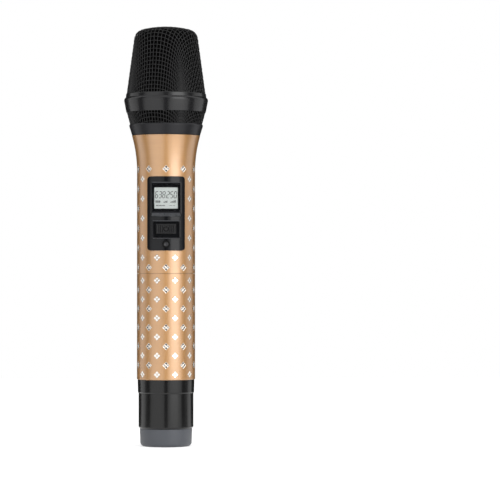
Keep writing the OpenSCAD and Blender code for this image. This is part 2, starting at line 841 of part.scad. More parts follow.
// Thin membrane with a dome over the voice coil
module diaphragm() {
  cap_r = (dome_r * dome_r + dome_rise * dome_rise) / (2 * dome_rise);
  centre = [0, membrane_z + dome_rise - cap_r];
  spread = asin(dome_r / cap_r);
  color("#d9c48a") revolve(concat(
    arc(centre, cap_r + membrane_t, 90, 90 - spread, 6),
    [
      [dome_r + 0.4, membrane_z + membrane_t], [capsule_bore_r - seat, membrane_z + membrane_t],
      [capsule_bore_r - seat, membrane_z], [dome_r, membrane_z]
    ],
    [for (p = arc(centre, cap_r, 90 - spread, 90, 6)) if (p[0] < dome_r - eps) p]
  ));
}

module capsule_grid() {
  color("#1a1a1c") difference() {
    revolve([
      [0, capsule_top], [capsule_bore_r - rim_w, capsule_top],
      [capsule_bore_r - rim_w, membrane_z + membrane_t], [capsule_bore_r - seat, membrane_z + membrane_t],
      [capsule_bore_r - seat, capsule_top], [capsule_r, capsule_top],
      [capsule_r - 0.4, capsule_top + grid_t], [0, capsule_top + grid_t]
    ]);
    for (k = [0:12]) {
      ring = k == 0 ? 0 : k < 5 ? 4 : 8;
      turn = k < 5 ? 90 * k : 45 * k;
      rotate(turn) translate([ring, 0, capsule_top - 1]) cylinder(r = grid_hole_r, h = grid_t + 2);
    }
  }
}

// Grille

// Ring with the neck's thread in its bore, and a groove that holds the lower mesh
module neck_ring() {
  groove_z = ring_top - hem_h;
  color("#343436") revolve([
    [neck_r + fit, neck_z + fit], [flare_d / 2 - 0.3, neck_z + fit], [flare_d / 2, neck_z + fit + 0.3],
    [ring_d / 2, ring_top - 0.9], [ring_d / 2 - 0.3, ring_top], [lower_mesh_at(ring_top) + seat, ring_top],
    [lower_mesh_at(groove_z) + seat, groove_z], [lower_mesh_at(groove_z) - mesh_t - seat, groove_z],
    [lower_mesh_at(ring_top) - mesh_t - seat, ring_top], [neck_r + fit, ring_top]
  ]);
}

module lower_mesh() {
  bottom = ring_top - hem_h + seat;
  hem_top = band_z + 3.5;
  hem_r = lower_mesh_at(band_z);
  color("#1b1b1c") revolve([
    [lower_mesh_at(bottom) - mesh_t, bottom], [lower_mesh_at(bottom), bottom], [hem_r, band_z],
    [hem_r, hem_top], [hem_r - mesh_t, hem_top], [hem_r - mesh_t, band_z]
  ]);
}

module grille_band() {
  lower_r = lower_mesh_at(band_z) + seat;
  upper_r = basket_r + seat;
  rib_r = lower_r - 2.2;
  rib = [band_z + 3.5 + seat, band_top - basket_hem_h - seat];
  bulge_r = 2.2;
  bulge = [band_d / 2 - bulge_r, band_z + 7.3];
  color("#2c2c2f") revolve(concat(
    [[lower_r, band_z], [lower_r + 0.2, band_z]],
    arc(bulge, bulge_r, -11, 58, 8),
    [
      [upper_r + 0.25, band_top - 0.3], [upper_r, band_top], [upper_r, rib[1]], [rib_r, rib[1]],
      [rib_r, rib[0]], [lower_r, rib[0]]
    ]
  ));
}

// Basket of wire mesh, with a straight hem that the band holds
module grille_basket() {
  hem_z = band_top - basket_hem_h;
  color("#1b1b1c") revolve(concat(
    [[basket_r, hem_z]],
    basket_line(0),
    backwards(basket_line(mesh_t)),
    [[basket_r - mesh_t, hem_z]]
  ));
}

// Foam cup inside the meshes, which keeps wind and breath off the capsule
module foam_liner() {
  outer = basket_line(mesh_t + foam_gap);
  inner = basket_line(mesh_t + foam_gap + foam_t);
  rib_r = lower_mesh_at(band_z) - 2.4;
  bottom = ring_top + 0.2;
  bottom_r = lower_mesh_at(bottom) - mesh_t - foam_gap;
  color("#0d0d0d") revolve(concat(
    [[bottom_r - foam_t, bottom], [bottom_r, bottom], [rib_r, band_z + 1], [rib_r, band_top - 2]],
    outer,
    backwards(inner),
    [[rib_r - foam_t, band_top - 2], [rib_r - foam_t, band_z + 1]]
  ));
}

// Fasteners

module board_screws() {
  color("#b0b2b5") for (x = [-1, 1], z = board_screw_z)
    translate([x * board_screw_x, board_y, z]) rotate([90, 0, 0]) screw(5);
}

module frame_screws() {
  color("#b0b2b5") for (a = frame_screw_angles) rotate(a) {
    translate([frame_screw_r, 0, neck_bottom + neck_floor_t]) screw(9);
    translate([collar_screw_r, 0, collar_top + seat + frame_foot_t]) screw(6);
  }
}

module tray_screws() {
  color("#b0b2b5") for (s = [-1, 1])
    translate([0, s * tray_screw_y, tray_top + fit + collar_ledge_t]) screw(5);
}

lower_sleeve();
tail_housing();
end_cap();
upper_barrel();
joint_collar();
inner_frame();
battery_tray();
battery_left();
battery_right();
battery_spring_lower();
battery_spring_upper();
contact_bridge();
contact_plates();
battery_leads();
antenna_coil();
main_board();
rf_shield();
rf_chip();
lead_socket();
capsule_leads();
display_bezel();
display_lens();
lcd_glass();
backlight();
contact_strip();
slide_switch();
slide_lever();
slide_knob();
button_switch();
button_plunger();
power_button();
neck_collar();
shock_mount();
capsule_housing();
terminal_board();
capsule_yoke();
capsule_magnet();
pole_plate();
voice_coil();
diaphragm_ring();
diaphragm();
capsule_grid();
neck_ring();
lower_mesh();
grille_band();
grille_basket();
foam_liner();
board_screws();
frame_screws();
tray_screws();
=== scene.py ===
import math

import bpy
import numpy as np
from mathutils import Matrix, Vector
from mathutils.geometry import delaunay_2d_cdt


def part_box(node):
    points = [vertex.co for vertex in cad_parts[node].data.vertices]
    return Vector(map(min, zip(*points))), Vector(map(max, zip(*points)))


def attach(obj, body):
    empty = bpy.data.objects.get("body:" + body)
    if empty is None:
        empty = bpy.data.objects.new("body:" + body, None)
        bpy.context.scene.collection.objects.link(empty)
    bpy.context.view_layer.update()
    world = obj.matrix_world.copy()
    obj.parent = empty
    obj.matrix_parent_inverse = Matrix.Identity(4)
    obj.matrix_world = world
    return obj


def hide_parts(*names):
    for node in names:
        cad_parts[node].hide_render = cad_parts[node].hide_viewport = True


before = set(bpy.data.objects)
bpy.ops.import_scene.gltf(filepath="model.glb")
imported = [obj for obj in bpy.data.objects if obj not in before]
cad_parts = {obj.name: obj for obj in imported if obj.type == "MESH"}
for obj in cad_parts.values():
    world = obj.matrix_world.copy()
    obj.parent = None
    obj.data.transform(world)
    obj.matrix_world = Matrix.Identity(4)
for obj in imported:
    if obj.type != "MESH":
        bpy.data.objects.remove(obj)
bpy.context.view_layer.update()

bl_info = {
    "name": "Karaoke microphone",
    "version": (1, 0, 0),
    "blender": (4, 5, 0),
    "location": "3D View > Sidebar > Microphone",
    "description": "Dresses the packed frame of a cordless karaoke microphone",
    "category": "Object",
}

# All shapes are worked out in millimetres and put into their meshes in metres
MM = 0.001
TAU = 2 * math.pi
# Lengths under this count as nothing
TINY = 1e-9


def screen(red, green, blue):
    """Linear colour of a screen colour given from 0 to 255."""
    c = np.array([red, green, blue]) / 255
    linear = np.where(c <= 0.04045, c / 12.92, ((c + 0.055) / 1.055) ** 2.4)
    return tuple(float(v) for v in linear)


def number(name, text, default, low, high, **kind):
    """Number property, with a unit or subtype where one fits."""
    return bpy.props.FloatProperty(
        name=name, description=text, default=default, min=low, max=high, **kind
    )


def size(name, text, mm):
    """Length property with its default given in millimetres."""
    return number(name, text, mm * MM, 0.0, 10.0, unit="LENGTH", precision=5)


def tint(name, text, *rgb):
    """Colour property with its default given as a screen colour."""
    return bpy.props.FloatVectorProperty(
        name=name, description=text, default=screen(*rgb), size=3, min=0.0, max=1.0, subtype="COLOR"
    )


class GripLook(bpy.types.PropertyGroup):
    """Gold tubes, tail and cap."""

    gold: tint("Gold", "Colour of the anodised tubes", 201, 147, 78)
    cut: tint("Cut marks", "Colour of the bright cut marks", 234, 231, 225)
    cut_reach: size("Cut reach", "Half the diagonal of one diamond cut", 1.04)
    cut_centre: size("Cut spread", "Distance of each diamond cut from the middle of its mark", 1.13)
    cut_floor: size("Cut floor", "Half the diagonal of a cut's flat floor", 0.8)
    cut_depth: size("Cut depth", "Depth of the diamond cuts", 0.09)
    tail: tint("Tail", "Colour of the plastic tail", 17, 17, 17)
    cap: tint("Cap", "Colour of the end cap", 84, 87, 93)


class HeadLook(bpy.types.PropertyGroup):
    """Grille, band, ring and foam."""

    wire: tint("Wire", "Colour of the coated wire", 24, 24, 25)
    band: tint("Band", "Colour of the band", 18, 18, 20)
    ring: tint("Ring", "Colour of the neck ring", 36, 36, 39)
    foam: tint("Foam", "Colour of the foam behind the wire", 4, 4, 4)
    pitch: size("Wire pitch", "Distance between wires at the crown", 2.5)
    thickness: size("Wire thickness", "Thickness of the flattened wire", 0.38)
    width: size("Wire width", "Width of the flattened wire", 0.44)
    turn: number("Weave turn", "Direction of the wires about the axis", math.radians(-22),
                 -math.pi, math.pi, subtype="ANGLE")


class PanelLook(bpy.types.PropertyGroup):
    """Display panel and its controls."""

    panel: tint("Panel", "Colour of the gloss panel", 19, 20, 23)
    # Painted highlight: a paler colour on the blocks' chamfers that stands in for light caught on
    # their edges
    painted_highlight: tint("Painted edge highlight", "Colour of the painted highlight on the blocks' chamfers", 77, 79, 84)
    display: tint("Display", "Colour of the display's ground", 230, 237, 234)
    segment: tint("Segments", "Colour of the display's segments", 48, 53, 53)
    knob: tint("Knob", "Colour of the slide knob", 17, 17, 19)
    # Painted shade: a near-black colour that stands in for shade in the knob's grooves and cut
    # symbol and in the button's dish
    groove: tint("Painted groove shade", "Painted shade in the knob's grooves and symbol and in the button's dish", 3, 3, 4)
    rib_pitch: size("Rib pitch", "Distance between the knob's ribs", 1.15)
    rib_depth: size("Rib depth", "Depth of the knob's ribs", 0.42)
    reading: bpy.props.StringProperty(
        name="Reading", description="Digits on the display, with a point after the third",
        default="638250",
    )


class StageLook(bpy.types.PropertyGroup):
    """Camera, light and floor."""

    floor: tint("Floor", "Colour of the floor", 245, 245, 245)
    right: number("Right light", "Strength of the right softbox, in watts", 9.2, 0.0, 200.0)
    left: number("Left light", "Strength of the left softbox, in watts", 1.1, 0.0, 200.0)
    fill: number("Fill", "Strength of the light from all round", 0.7, 0.0, 4.0)
    lens: number("Lens", "Focal length of the camera", 185.6, 1.0, 5000.0, unit="CAMERA")
    distance: size("Distance", "Distance of the camera in front of the axis", 1600.0)


LOOKS = {
    "mic_grip": GripLook, "mic_head": HeadLook, "mic_panel": PanelLook, "mic_stage": StageLook
}


def look(name):
    """Property group of that name, on the scene."""
    return getattr(bpy.context.scene, name)


# Finishes


def settle(shader, values):
    """Puts plain values on a shader's own sockets, which are named with _ for a space."""
    for socket, value in values.items():
        shader.inputs[socket.replace("_", " ")].default_value = value
    return shader


def shading(tree, kind, **values):
    """New shader node with plain values on its sockets."""
    return settle(tree.nodes.new("ShaderNode" + kind), values)


def finish(name, colour, metallic=0.0, roughness=0.5, **sockets):
    """Finish of one colour and roughness."""
    made = bpy.data.materials.new(name)
    made.use_nodes = True
    sockets.update(Base_Color=(*colour, 1.0), Metallic=metallic, Roughness=roughness)
    settle(made.node_tree.nodes["Principled BSDF"], sockets)
    return made


def two_tone(tree, share, other):
    """Mixes a second colour into a finish by the share that a pattern gives."""
    colour = tree.nodes["Principled BSDF"].inputs["Base Color"]
    mix = shading(tree, "Mix")
    mix.data_type = "RGBA"
    settle(mix, {"A": colour.default_value, "B": (*other, 1.0)})
    tree.links.new(share, mix.inputs["Factor"])
    tree.links.new(mix.outputs["Result"], colour)


def satin(name, colour, rough, scale, depth, metallic=0.0, other=None,
          stretch=(1.0, 1.0, 1.0), detail=3.0, **sockets):
    """Finish with a grain: noise over Object coordinates, of so many waves per millimetre times the
    stretch along each axis. It gives a bump of a depth in millimetres, roughness where that is a
    range, and a share of another colour."""
    made = finish(name, colour, metallic, float(np.mean(rough)), **sockets)
    tree = made.node_tree
    link, shader = tree.links.new, tree.nodes["Principled BSDF"].inputs
    place = shading(tree, "TexCoord")
    mapping = shading(tree, "Mapping", Scale=[scale / MM * s for s in stretch])
    noise = shading(tree, "TexNoise", Scale=1.0, Detail=detail)
    link(place.outputs["Object"], mapping.inputs["Vector"])
    link(mapping.outputs["Vector"], noise.inputs["Vector"])
    wave = noise.outputs["Fac"]
    if depth:
        bump = shading(tree, "Bump", Strength=1.0, Distance=depth * MM)
        link(wave, bump.inputs["Height"])
        link(bump.outputs["Normal"], shader["Normal"])
    if np.ndim(rough):
        spread = shading(
            tree, "MapRange", From_Min=0.3, From_Max=0.7, To_Min=rough[0], To_Max=rough[1]
        )
        link(wave, spread.inputs["Value"])
        link(spread.outputs["Result"], shader["Roughness"])
    if other:
        two_tone(tree, wave, other)
    return made


def moulded(name, rgb, roughness):
    """Moulded plastic with a fine spark-eroded grain."""
    return satin(name, screen(*rgb), (roughness - 0.06, roughness + 0.08), 4.0, 0.004)


def plated(name, rgb, roughness):
    """Bare or plated metal with faint drawn lines."""
    rough = (roughness - 0.06, roughness + 0.1)
    return satin(name, screen(*rgb), rough, 1.2, 0.001, 1.0, stretch=(1.0, 1.0, 6.0))


def rubbery(name, rgb):
    """Soft rubber, matt with a fine grain."""
    return satin(name, screen(*rgb), (0.65, 0.85), 3.0, 0.01)


# Surfaces

# Rows that soften makes of one corner, and the row in the middle of them
SOFT_ROWS, SOFT_MIDDLE = 7, 3


class Shell:
    """Patches of one piece: corners, faces of four corners, and the finish of each face."""

    def __init__(self):
        self.points, self.faces, self.finish, self.count = [], [], [], 0

    def add(self, points, faces, finish=0):
        """Adds corners and faces. A face of three corners gives its last corner twice."""
        points = np.asarray(points, float).reshape(-1, 3)
        faces = np.asarray(faces).reshape(-1, 4)
        self.points.append(points)
        self.faces.append(faces + self.count)
        self.finish.append(np.broadcast_to(finish, len(faces)))
        self.count += len(points)
        return self

    def grid(self, points, turns=(False, True), finish=0, keep=True, inward=False):
        """Adds rows and columns of corners. turns says which of the two close on themselves."""
        rows, columns = points.shape[:2]
        i = np.arange(rows if turns[0] else rows - 1)[:, None]
        j = np.arange(columns if turns[1] else columns - 1)
        k, m = (i + 1) % rows, (j + 1) % columns
        corners = [i * columns + j, i * columns + m, k * columns + m, k * columns + j]
        faces = np.stack(corners[::-1] if inward else corners, -1)
        finish, keep = (np.broadcast_to(v, faces.shape[:2]) for v in (finish, keep))
        return self.add(points, faces[keep], finish[keep])

    def welded(self):
        """Joins corners that share a place, and drops the sides and faces that this closes up."""
        points, faces = np.concatenate(self.points), np.concatenate(self.faces)
        _, first, same = np.unique(
            np.round(points, 5) + 0.0, axis=0, return_index=True, return_inverse=True
        )
        faces = same.reshape(-1)[faces]
        keep = faces != np.roll(faces, -1, axis=1)
        sides = keep.sum(1)
        whole = sides > 2
        used, loops = np.unique(faces[whole][keep[whole]], return_inverse=True)
        starts = np.cumsum(sides[whole]) - sides[whole]
        return points[first[used]], loops.reshape(-1), starts, np.concatenate(self.finish)[whole]


def piece(name, shell, finishes, body, slot, *nodes, crease=28.0):
    """Makes an object of a shell. It rides on a body and stands for CAD nodes; the slot is not
    used.
    """
    points, loops, starts, which = shell.welded()
    mesh = bpy.data.meshes.new(name)
    mesh.vertices.add(len(points))
    mesh.vertices.foreach_set("co", (points * MM).astype(np.float32).ravel())
    mesh.loops.add(len(loops))
    mesh.loops.foreach_set("vertex_index", loops.astype(np.int32))
    mesh.polygons.add(len(starts))
    mesh.polygons.foreach_set("loop_start", starts.astype(np.int32))
    mesh.polygons.foreach_set("material_index", which.astype(np.int32))
    mesh.polygons.foreach_set("use_smooth", np.ones(len(starts), bool))
    mesh.update(calc_edges=True)
    mesh.set_sharp_from_angle(angle=math.radians(crease))
    for each in finishes:
        mesh.materials.append(each)
    made = bpy.data.objects.new(name, mesh)
    bpy.context.scene.collection.objects.link(made)
    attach(made, body)
    if nodes:
        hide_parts(*nodes)
    return made


def ramp(v, width):
    """Rises from 0 to 1 over a width."""
    return np.clip(v / width, 0, 1)


def unit(v):
    """Vectors at length 1, and their lengths."""
    long = np.maximum(np.linalg.norm(v, axis=-1, keepdims=True), TINY)
    return v / long, long


def soften(path, radius, closed=True, least=15.0):
    """Rounds the corners of a run of points or of loops. Each corner P is cut back to A and B on
    its two legs, and (1-s)^2 A + 2s(1-s) P + s^2 B runs between them, with a point on each leg."""
    path = np.asarray(path, float)
    (before, back), (after, on) = (unit(np.roll(path, way, 0) - path) for way in (1, -1))
    bend = np.degrees(np.arccos(np.clip(-(before * after).sum(-1, keepdims=True), -1, 1)))
    cut = np.where(bend > least, np.minimum(radius, 0.33 * np.minimum(back, on)), 0.0)
    if not closed:
        cut[0] = cut[-1] = 0.0
    a, b = before * cut, after * cut
    s = np.linspace(0, 1, SOFT_ROWS - 2).reshape(-1, 1, *[1] * (path.ndim - 1))
    curve = (1 - s) ** 2 * a + s**2 * b
    run = np.concatenate([1.4 * a[None], curve, 1.4 * b[None]]) + path
    return np.swapaxes(run, 0, 1).reshape(-1, *path.shape[1:])


def turned(profile, steps=144, swell=0.0):
    """Profile of (radius, height) turned about Z: x = r cos a, y = r sin a."""
    profile = np.asarray(profile, float)
    a = np.arange(steps) * TAU / steps
    r = profile[:, :1] + swell + 0 * a
    return np.stack([r * np.cos(a), r * np.sin(a), profile[:, 1:] + 0 * a], -1)


def bow(centre, r, start, end, steps):
    """Arc of points about a centre, between two angles in degrees."""
    a = np.radians(np.linspace(start, end, steps + 1))[:, None]
    return np.asarray(centre, float) + r * np.hstack([np.cos(a), np.sin(a)])


def tubes(paths, normals, radii, sides, spread=1.0):
    """Tubes along rows of points. Each ring is r(cos t N + spread sin t B), with N the given normal
    made square to the path and B the cross product of the path's direction and N."""
    along, _ = unit(np.gradient(paths, axis=1))
    n, _ = unit(normals - (normals * along).sum(-1, keepdims=True) * along)
    b = spread * np.cross(along, n)
    t = np.arange(sides) * TAU / sides
    ring = n[..., None, :] * np.cos(t)[:, None] + b[..., None, :] * np.sin(t)[:, None]
    return paths[..., None, :] + radii[..., None, None] * ring


def closed_tube(shell, path, normals, radius, sides, finish=0):
    """Adds one tube with flat ends to a shell."""
    rings = tubes(path[None], normals[None], np.full((1, len(path)), radius), sides)[0]
    ends = np.broadcast_to(path[[0, -1], None], (2, sides, 3))
    return shell.grid(np.concatenate([ends[:1], rings, ends[1:]]), finish=finish)


def squircle(x, z, half_x, half_z, corner):
    """Rounds the corners of a rectangle's points. Near a corner, with a and b from 0 to 1 along its
    two sides, a becomes a sqrt(1 - b^2/2) and b becomes b sqrt(1 - a^2/2)."""
    a, b = ramp(np.abs(x) - half_x + corner, corner), ramp(np.abs(z) - half_z + corner, corner)
    new_x = np.minimum(np.abs(x), half_x - corner) + corner * a * np.sqrt(1 - b * b / 2)
    new_z = np.minimum(np.abs(z), half_z - corner) + corner * b * np.sqrt(1 - a * a / 2)
    return np.sign(x) * new_x, np.sign(z) * new_z


def oblong(half_x, z0, z1, corner):
    """Loop of points round a rectangle with round corners, seen from the front and running along
    its foot first. Each side's points stand off by the corner's radius, and each corner turns by a
    quarter. The third number is 1 along the foot, and fades to 0 round its two corners."""
    across, up, bends = 28, 36, 6
    x, low, high = half_x - corner, z0 + corner, z1 - corner
    ends = np.array([[x, low], [x, high], [-x, high], [-x, low]])
    bend = np.arange(1, bends + 1) / bends
    runs = []
    for k in range(4):
        side = np.linspace(0, 1, (up if k % 2 else across) + 1)[1:]
        turn = np.concatenate([0 * side, bend])
        share = np.concatenate([side, 0 * bend + 1])[:, None]
        a = TAU / 4 * (k - 1 + turn)
        place = ends[k - 1] + share * (ends[k] - ends[k - 1])
        place = place + corner * np.column_stack([np.cos(a), np.sin(a)])
        runs.append(np.column_stack([place, {0: 1 - turn, 3: turn}.get(k, 0 * turn)]))
    return np.concatenate(runs)


def border(grid):
    """Loop round the edge of a grid of points, along its first row first."""
    return np.concatenate([grid[0, :-1], grid[:-1, -1], grid[-1, :0:-1], grid[:0:-1, 0]])


def curved(loop, r):
    """Puts a loop seen from the front on a cylinder about Z: y = -sqrt(r^2 - x^2)."""
    return flat(loop, -np.sqrt(r * r - loop[:, 0] ** 2))


def flat(loop, y):
    """Puts a loop seen from the front at a depth."""
    return np.stack([loop[:, 0], np.broadcast_to(y, len(loop)), loop[:, 1]], -1)


def pole(loop):
    """Closes a loop up at its middle."""
    return np.broadcast_to((loop.min(0) + loop.max(0)) / 2, loop.shape)


def round_z(r, angle, z):
    """Place at a radius, an angle to the right of the front, and a height."""
    return np.stack(np.broadcast_arrays(r * np.sin(angle), -r * np.cos(angle), z), -1)


def inside(points, loop):
    """Tells which points lie inside a loop, by counting the sides to the right of each."""
    a, b = loop, np.roll(loop, -1, 0)
    x, y = points[:, :1], points[:, 1:]
    spans = (a[:, 1] > y) != (b[:, 1] > y)
    rise = np.where(b[:, 1] == a[:, 1], TINY, b[:, 1] - a[:, 1])
    return (spans & (x < a[:, 0] + (y - a[:, 1]) * (b[:, 0] - a[:, 0]) / rise)).sum(1) % 2 == 1


def sheet(outline, holes, lattice, margin):
    """Triangles between an outline and its holes, with lattice points that keep clear of them."""
    loops = [outline, *holes]
    gaps = [np.linalg.norm(lattice[:, None] - loop, axis=-1).min(1) for loop in loops]
    points = np.concatenate([*loops, lattice[np.min(gaps, 0) > margin]])
    edges, first = [], 0
    for loop in loops:
        k = np.arange(len(loop))
        edges.append(np.stack([first + k, first + (k + 1) % len(loop)], -1))
        first += len(loop)
    _, _, faces, origins, _, _ = delaunay_2d_cdt(
        [Vector(p) for p in points.tolist()], np.concatenate(edges).tolist(), [], 0, 1e-6
    )
    points, faces = points[[each[0] for each in origins]], np.array([tuple(f) for f in faces])
    middle = points[faces].mean(1)
    kept = inside(middle, outline)
    for hole in holes:
        kept &= ~inside(middle, hole)
    faces = faces[kept]
    a, b, c = np.swapaxes(points[faces], 0, 1)
    area = (b - a)[:, 0] * (c - a)[:, 1] - (b - a)[:, 1] * (c - a)[:, 0]
    faces[area < 0] = faces[area < 0][:, ::-1]
    return points, faces[:, [0, 1, 2, 2]]


# Gold tubes

GRIP_R, BORE_R = 18.0, 16.8
WALL = GRIP_R - BORE_R
# Height of the flare's foot, and the radius of its arc
FLARE_Z, FLARE_R = 170.0, 81.04
# One tile of the skin: its turn, and its columns and rows of faces
TILE_TURN, TILE_COLUMNS, TILE_ROWS = math.radians(18), 6, 4
# The panel's window: half its width and height, its corner, its middle, and the tiles that it
# takes out to each side of the front
WINDOW, WINDOW_Z, WINDOW_TILES = (11.0, 22.2, 1.4), 143.8, 2


def sleeve_r(z, inset=0.0):
    """Radius of the lower sleeve, which is straight."""
    return 0 * z + GRIP_R - inset


def barrel_r(z, inset=0.0):
    """Radius of the upper barrel: straight up to the flare, then an arc that leans outwards."""
    rise = np.maximum(np.asarray(z, float) - FLARE_Z, 0.0)
    return GRIP_R + FLARE_R - np.sqrt((FLARE_R + inset) ** 2 - rise**2)


def cut_tile(half_w, half_h):
    """One tile of the gold skin with its mark of four diamond cuts, laid flat: points of
    (arc, height, depth), faces, and 1 for the faces of a cut."""
    grip = look("mic_grip")
    reach, centre, floor, depth = (
        v / MM for v in (grip.cut_reach, grip.cut_centre, grip.cut_floor, grip.cut_depth)
    )
    ways = np.array([[1, 0], [0, 1], [-1, 0], [0, -1]], float)
    cuts, floors = (centre * ways[:, None] + r * ways for r in (reach, floor))
    grid = np.stack(np.meshgrid(
        np.linspace(-half_w, half_w, TILE_COLUMNS + 1), np.linspace(-half_h, half_h, TILE_ROWS + 1)
    ), -1)
    lattice = grid[1:-1, 1:-1].reshape(-1, 2)
    lattice = lattice[np.linalg.norm(lattice, axis=1) > 1.1 * (centre + reach)]
    skin, faces = sheet(border(grid), list(cuts), lattice, 0.3)
    k = np.arange(4)
    wall = np.stack([k, (k + 1) % 4, 4 + (k + 1) % 4, 4 + k], -1)
    pit = np.concatenate([wall, [[4, 5, 6, 7]]])
    pits = (8 * k[:, None, None] + pit).reshape(-1, 4) + len(skin)
    corners = np.concatenate([skin, np.concatenate([cuts, floors], 1).reshape(-1, 2)])
    sunk = np.concatenate([0 * skin[:, 0], np.tile(np.repeat([0.0, depth], 4), 4)])
    which = np.repeat([0, 1], [len(faces), len(pits)])
    return np.column_stack([corners, sunk]), np.concatenate([faces, pits]), which


def window_ring(levels):
    """Skin round the window: the edge of the tiles left out, the window's outline on the skin and
    on the bore, and the same edge on the bore."""
    reach = (WINDOW_TILES + 0.5) * TILE_TURN
    across = np.linspace(-reach, reach, (2 * WINDOW_TILES + 1) * TILE_COLUMNS + 1)
    a, z = border(np.stack(np.meshgrid(across, levels), -1)).T
    mid = (levels[0] + levels[-1]) / 2
    x, up = squircle(a / reach * WINDOW[0], (z - mid) / (levels[-1] - mid) * WINDOW[1], *WINDOW)
    up = up + WINDOW_Z
    return np.stack([
        round_z(GRIP_R, a, z), round_z(GRIP_R, np.arcsin(x / GRIP_R), up),
        round_z(BORE_R, np.arcsin(x / BORE_R), up), round_z(BORE_R, a, z),
    ])


def gold_tube(node, rows, first, radius, edges):
    """Gold tube whose skin is a lattice of tiles, 18 degrees by one row, with a mark on every
    second one. The bore has the same lattice without marks, and the barrel's window joins the
    two."""
    shell = Shell()
    lo, hi = (round(v.z / MM, 3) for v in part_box(node))
    low, high = lo + edges[0], hi - edges[1]
    half = (rows[1] - rows[0]) / 2
    steps = np.linspace(-half, half, TILE_ROWS + 1)
    top = rows.max() + half
    extra = np.linspace(top, high, 14) if high - top > 3 else []
    levels = np.concatenate([[low, high], (rows[:, None] + steps).ravel(), extra])
    levels = np.unique(np.round(np.clip(levels, low, high), 4))
    start = np.searchsorted(levels, np.clip(rows - half, low, high) - 0.01)
    column = np.arange(int(round(TAU / TILE_TURN)))
    angle = TILE_TURN * (np.arange(len(column) * TILE_COLUMNS) / TILE_COLUMNS - 0.5)
    keep = np.ones((len(levels) - 1, len(angle)), bool)
    marked = (column + np.arange(len(rows))[:, None] + first) % 2 == 0
    if node == "upper_barrel":
        turn = np.minimum(column, len(column) - column) <= WINDOW_TILES
        cut = np.abs(rows - WINDOW_Z) < WINDOW[1]
        marked &= ~(cut[:, None] & turn)
        i0, i1 = start[cut].min(), start[cut].max() + TILE_ROWS
        keep[i0:i1, np.repeat(turn, TILE_COLUMNS)] = False
        shell.grid(window_ring(levels[i0:i1 + 1]))
    bore = keep.copy()
    row, col = np.nonzero(marked)
    keep[
        start[row][:, None, None] + np.arange(TILE_ROWS)[:, None],
        col[:, None, None] * TILE_COLUMNS + np.arange(TILE_COLUMNS),
    ] = False
    z = levels[:, None]
    shell.grid(round_z(radius(z), angle, z), keep=keep)
    shell.grid(round_z(radius(z, WALL), angle, z), keep=bore, inward=True)
    points, faces, cuts = cut_tile(TILE_TURN * GRIP_R / 2, half)
    tile_z = np.clip(rows[row][:, None] + points[:, 1], low, high)
    tile_a = col[:, None] * TILE_TURN + points[:, 0] / GRIP_R
    tiles = round_z(radius(tile_z) - points[:, 2], tile_a, tile_z)
    offset = len(points) * np.arange(len(row))[:, None, None]
    shell.add(tiles, faces + offset, np.tile(cuts, len(row)))
    for way, end, bevel in ((1, lo, edges[0]), (-1, hi, edges[1])):
        near = end + way * bevel
        rims = [(radius(near, WALL), near), (radius(end, WALL), end),
                (radius(end) - bevel, end), (radius(near), near)]
        shell.grid(np.stack([round_z(r, angle, h) for r, h in rims])[::way])
    return shell


class MIC_OT_gold_tubes(bpy.types.Operator):
    """Lower sleeve and upper barrel, with rows of marks of four diamond cuts"""

    bl_idname = "mic.gold_tubes"
    bl_label = "Gold tubes"

    def execute(self, context):
        grip = look("mic_grip")
        gold = satin(
            "gold_satin", grip.gold, (0.5, 0.6), 2.4, 0.0012, 1.0, stretch=(0.02, 0.02, 1.0),
            detail=4.0, Specular_Tint=(0.35, 0.35, 0.35, 1.0), Coat_Weight=1.0, Coat_IOR=2.27,
            Coat_Roughness=0.3,
        )
        cut = satin("cut_bright", grip.cut, (0.11, 0.18), 6.0, 0.0, 1.0)
        row = np.arange(11)
        for name, node, body, rows, first, radius, edges in (
            ("gold_sleeve", "lower_sleeve", "handle", 44.75 + 5.79 * row, 1, sleeve_r, (0.3, 0.06)),
            ("gold_barrel", "upper_barrel", "transmitter", 110.6 + 6.06 * row, 0, barrel_r,
             (0.06, 0.0)),
        ):
            shell = gold_tube(node, rows, first, radius, edges)
            piece(name, shell, [gold, cut], body, "gold_aluminium", node, crease=20)
        return {"FINISHED"}


# Turned pieces

# Heights of the ring's top, and of the band's foot and top
RING_TOP, BAND_Z, BAND_TOP = 199.3, 206.8, 218.3
# Radius of the lower mesh at the ring's top, and how it widens with height
LOWER_R, LOWER_SLOPE = 22.4, 4 / 15
# Room between the lower mesh and what holds it
LAP = 0.05


def lathed(name, profile, radius, made, body, slot, node, closed=True):
    """Turned piece with its profile's corners rounded."""
    shell = Shell().grid(turned(soften(profile, radius, closed)), (closed, True))
    return piece(name, shell, [made], body, slot, node)


def lower_r(z):
    """Outline of the lower mesh's cone."""
    return LOWER_R + LOWER_SLOPE * (z - RING_TOP)


class MIC_OT_tail(bpy.types.Operator):
    """Plastic tail with its step, and the end cap"""

    bl_idname = "mic.tail"
    bl_label = "Tail and cap"

    def execute(self, context):
        grip = look("mic_grip")
        tail = satin("tail_satin", grip.tail, (0.17, 0.24), 5.0, 0.001, Specular_IOR_Level=0.42)
        profile = [
            [14.95, 11.05], [16.2, 11.05], [17, 12], [17, 33], [17.4, 33.5], [17.6, 41.35],
            [16.75, 41.35], [16.75, 51.9], [16.3, 52.4], [15.6, 52.4], [15.6, 18.5], [14.95, 18],
        ]
        lathed("tail_shell", profile, 0.22, tail, "handle", "tail_plastic", "tail_housing")
        cap = satin("cap_satin", grip.cap, (0.38, 0.5), 4.0, 0.004)
        profile = np.concatenate([
            [[0, 0], [13.3, 0]], bow((13.45, 2.5), 2.5, -80, 0, 10),
            [[16.2, 11], [14.9, 11], [14.9, 17.5], [13.5, 17.5], [13.5, 2.5], [0, 2.5]],
        ])
        lathed("cap_shell", profile, 0.2, cap, "handle", "cap_plastic", "end_cap", closed=False)
        return {"FINISHED"}


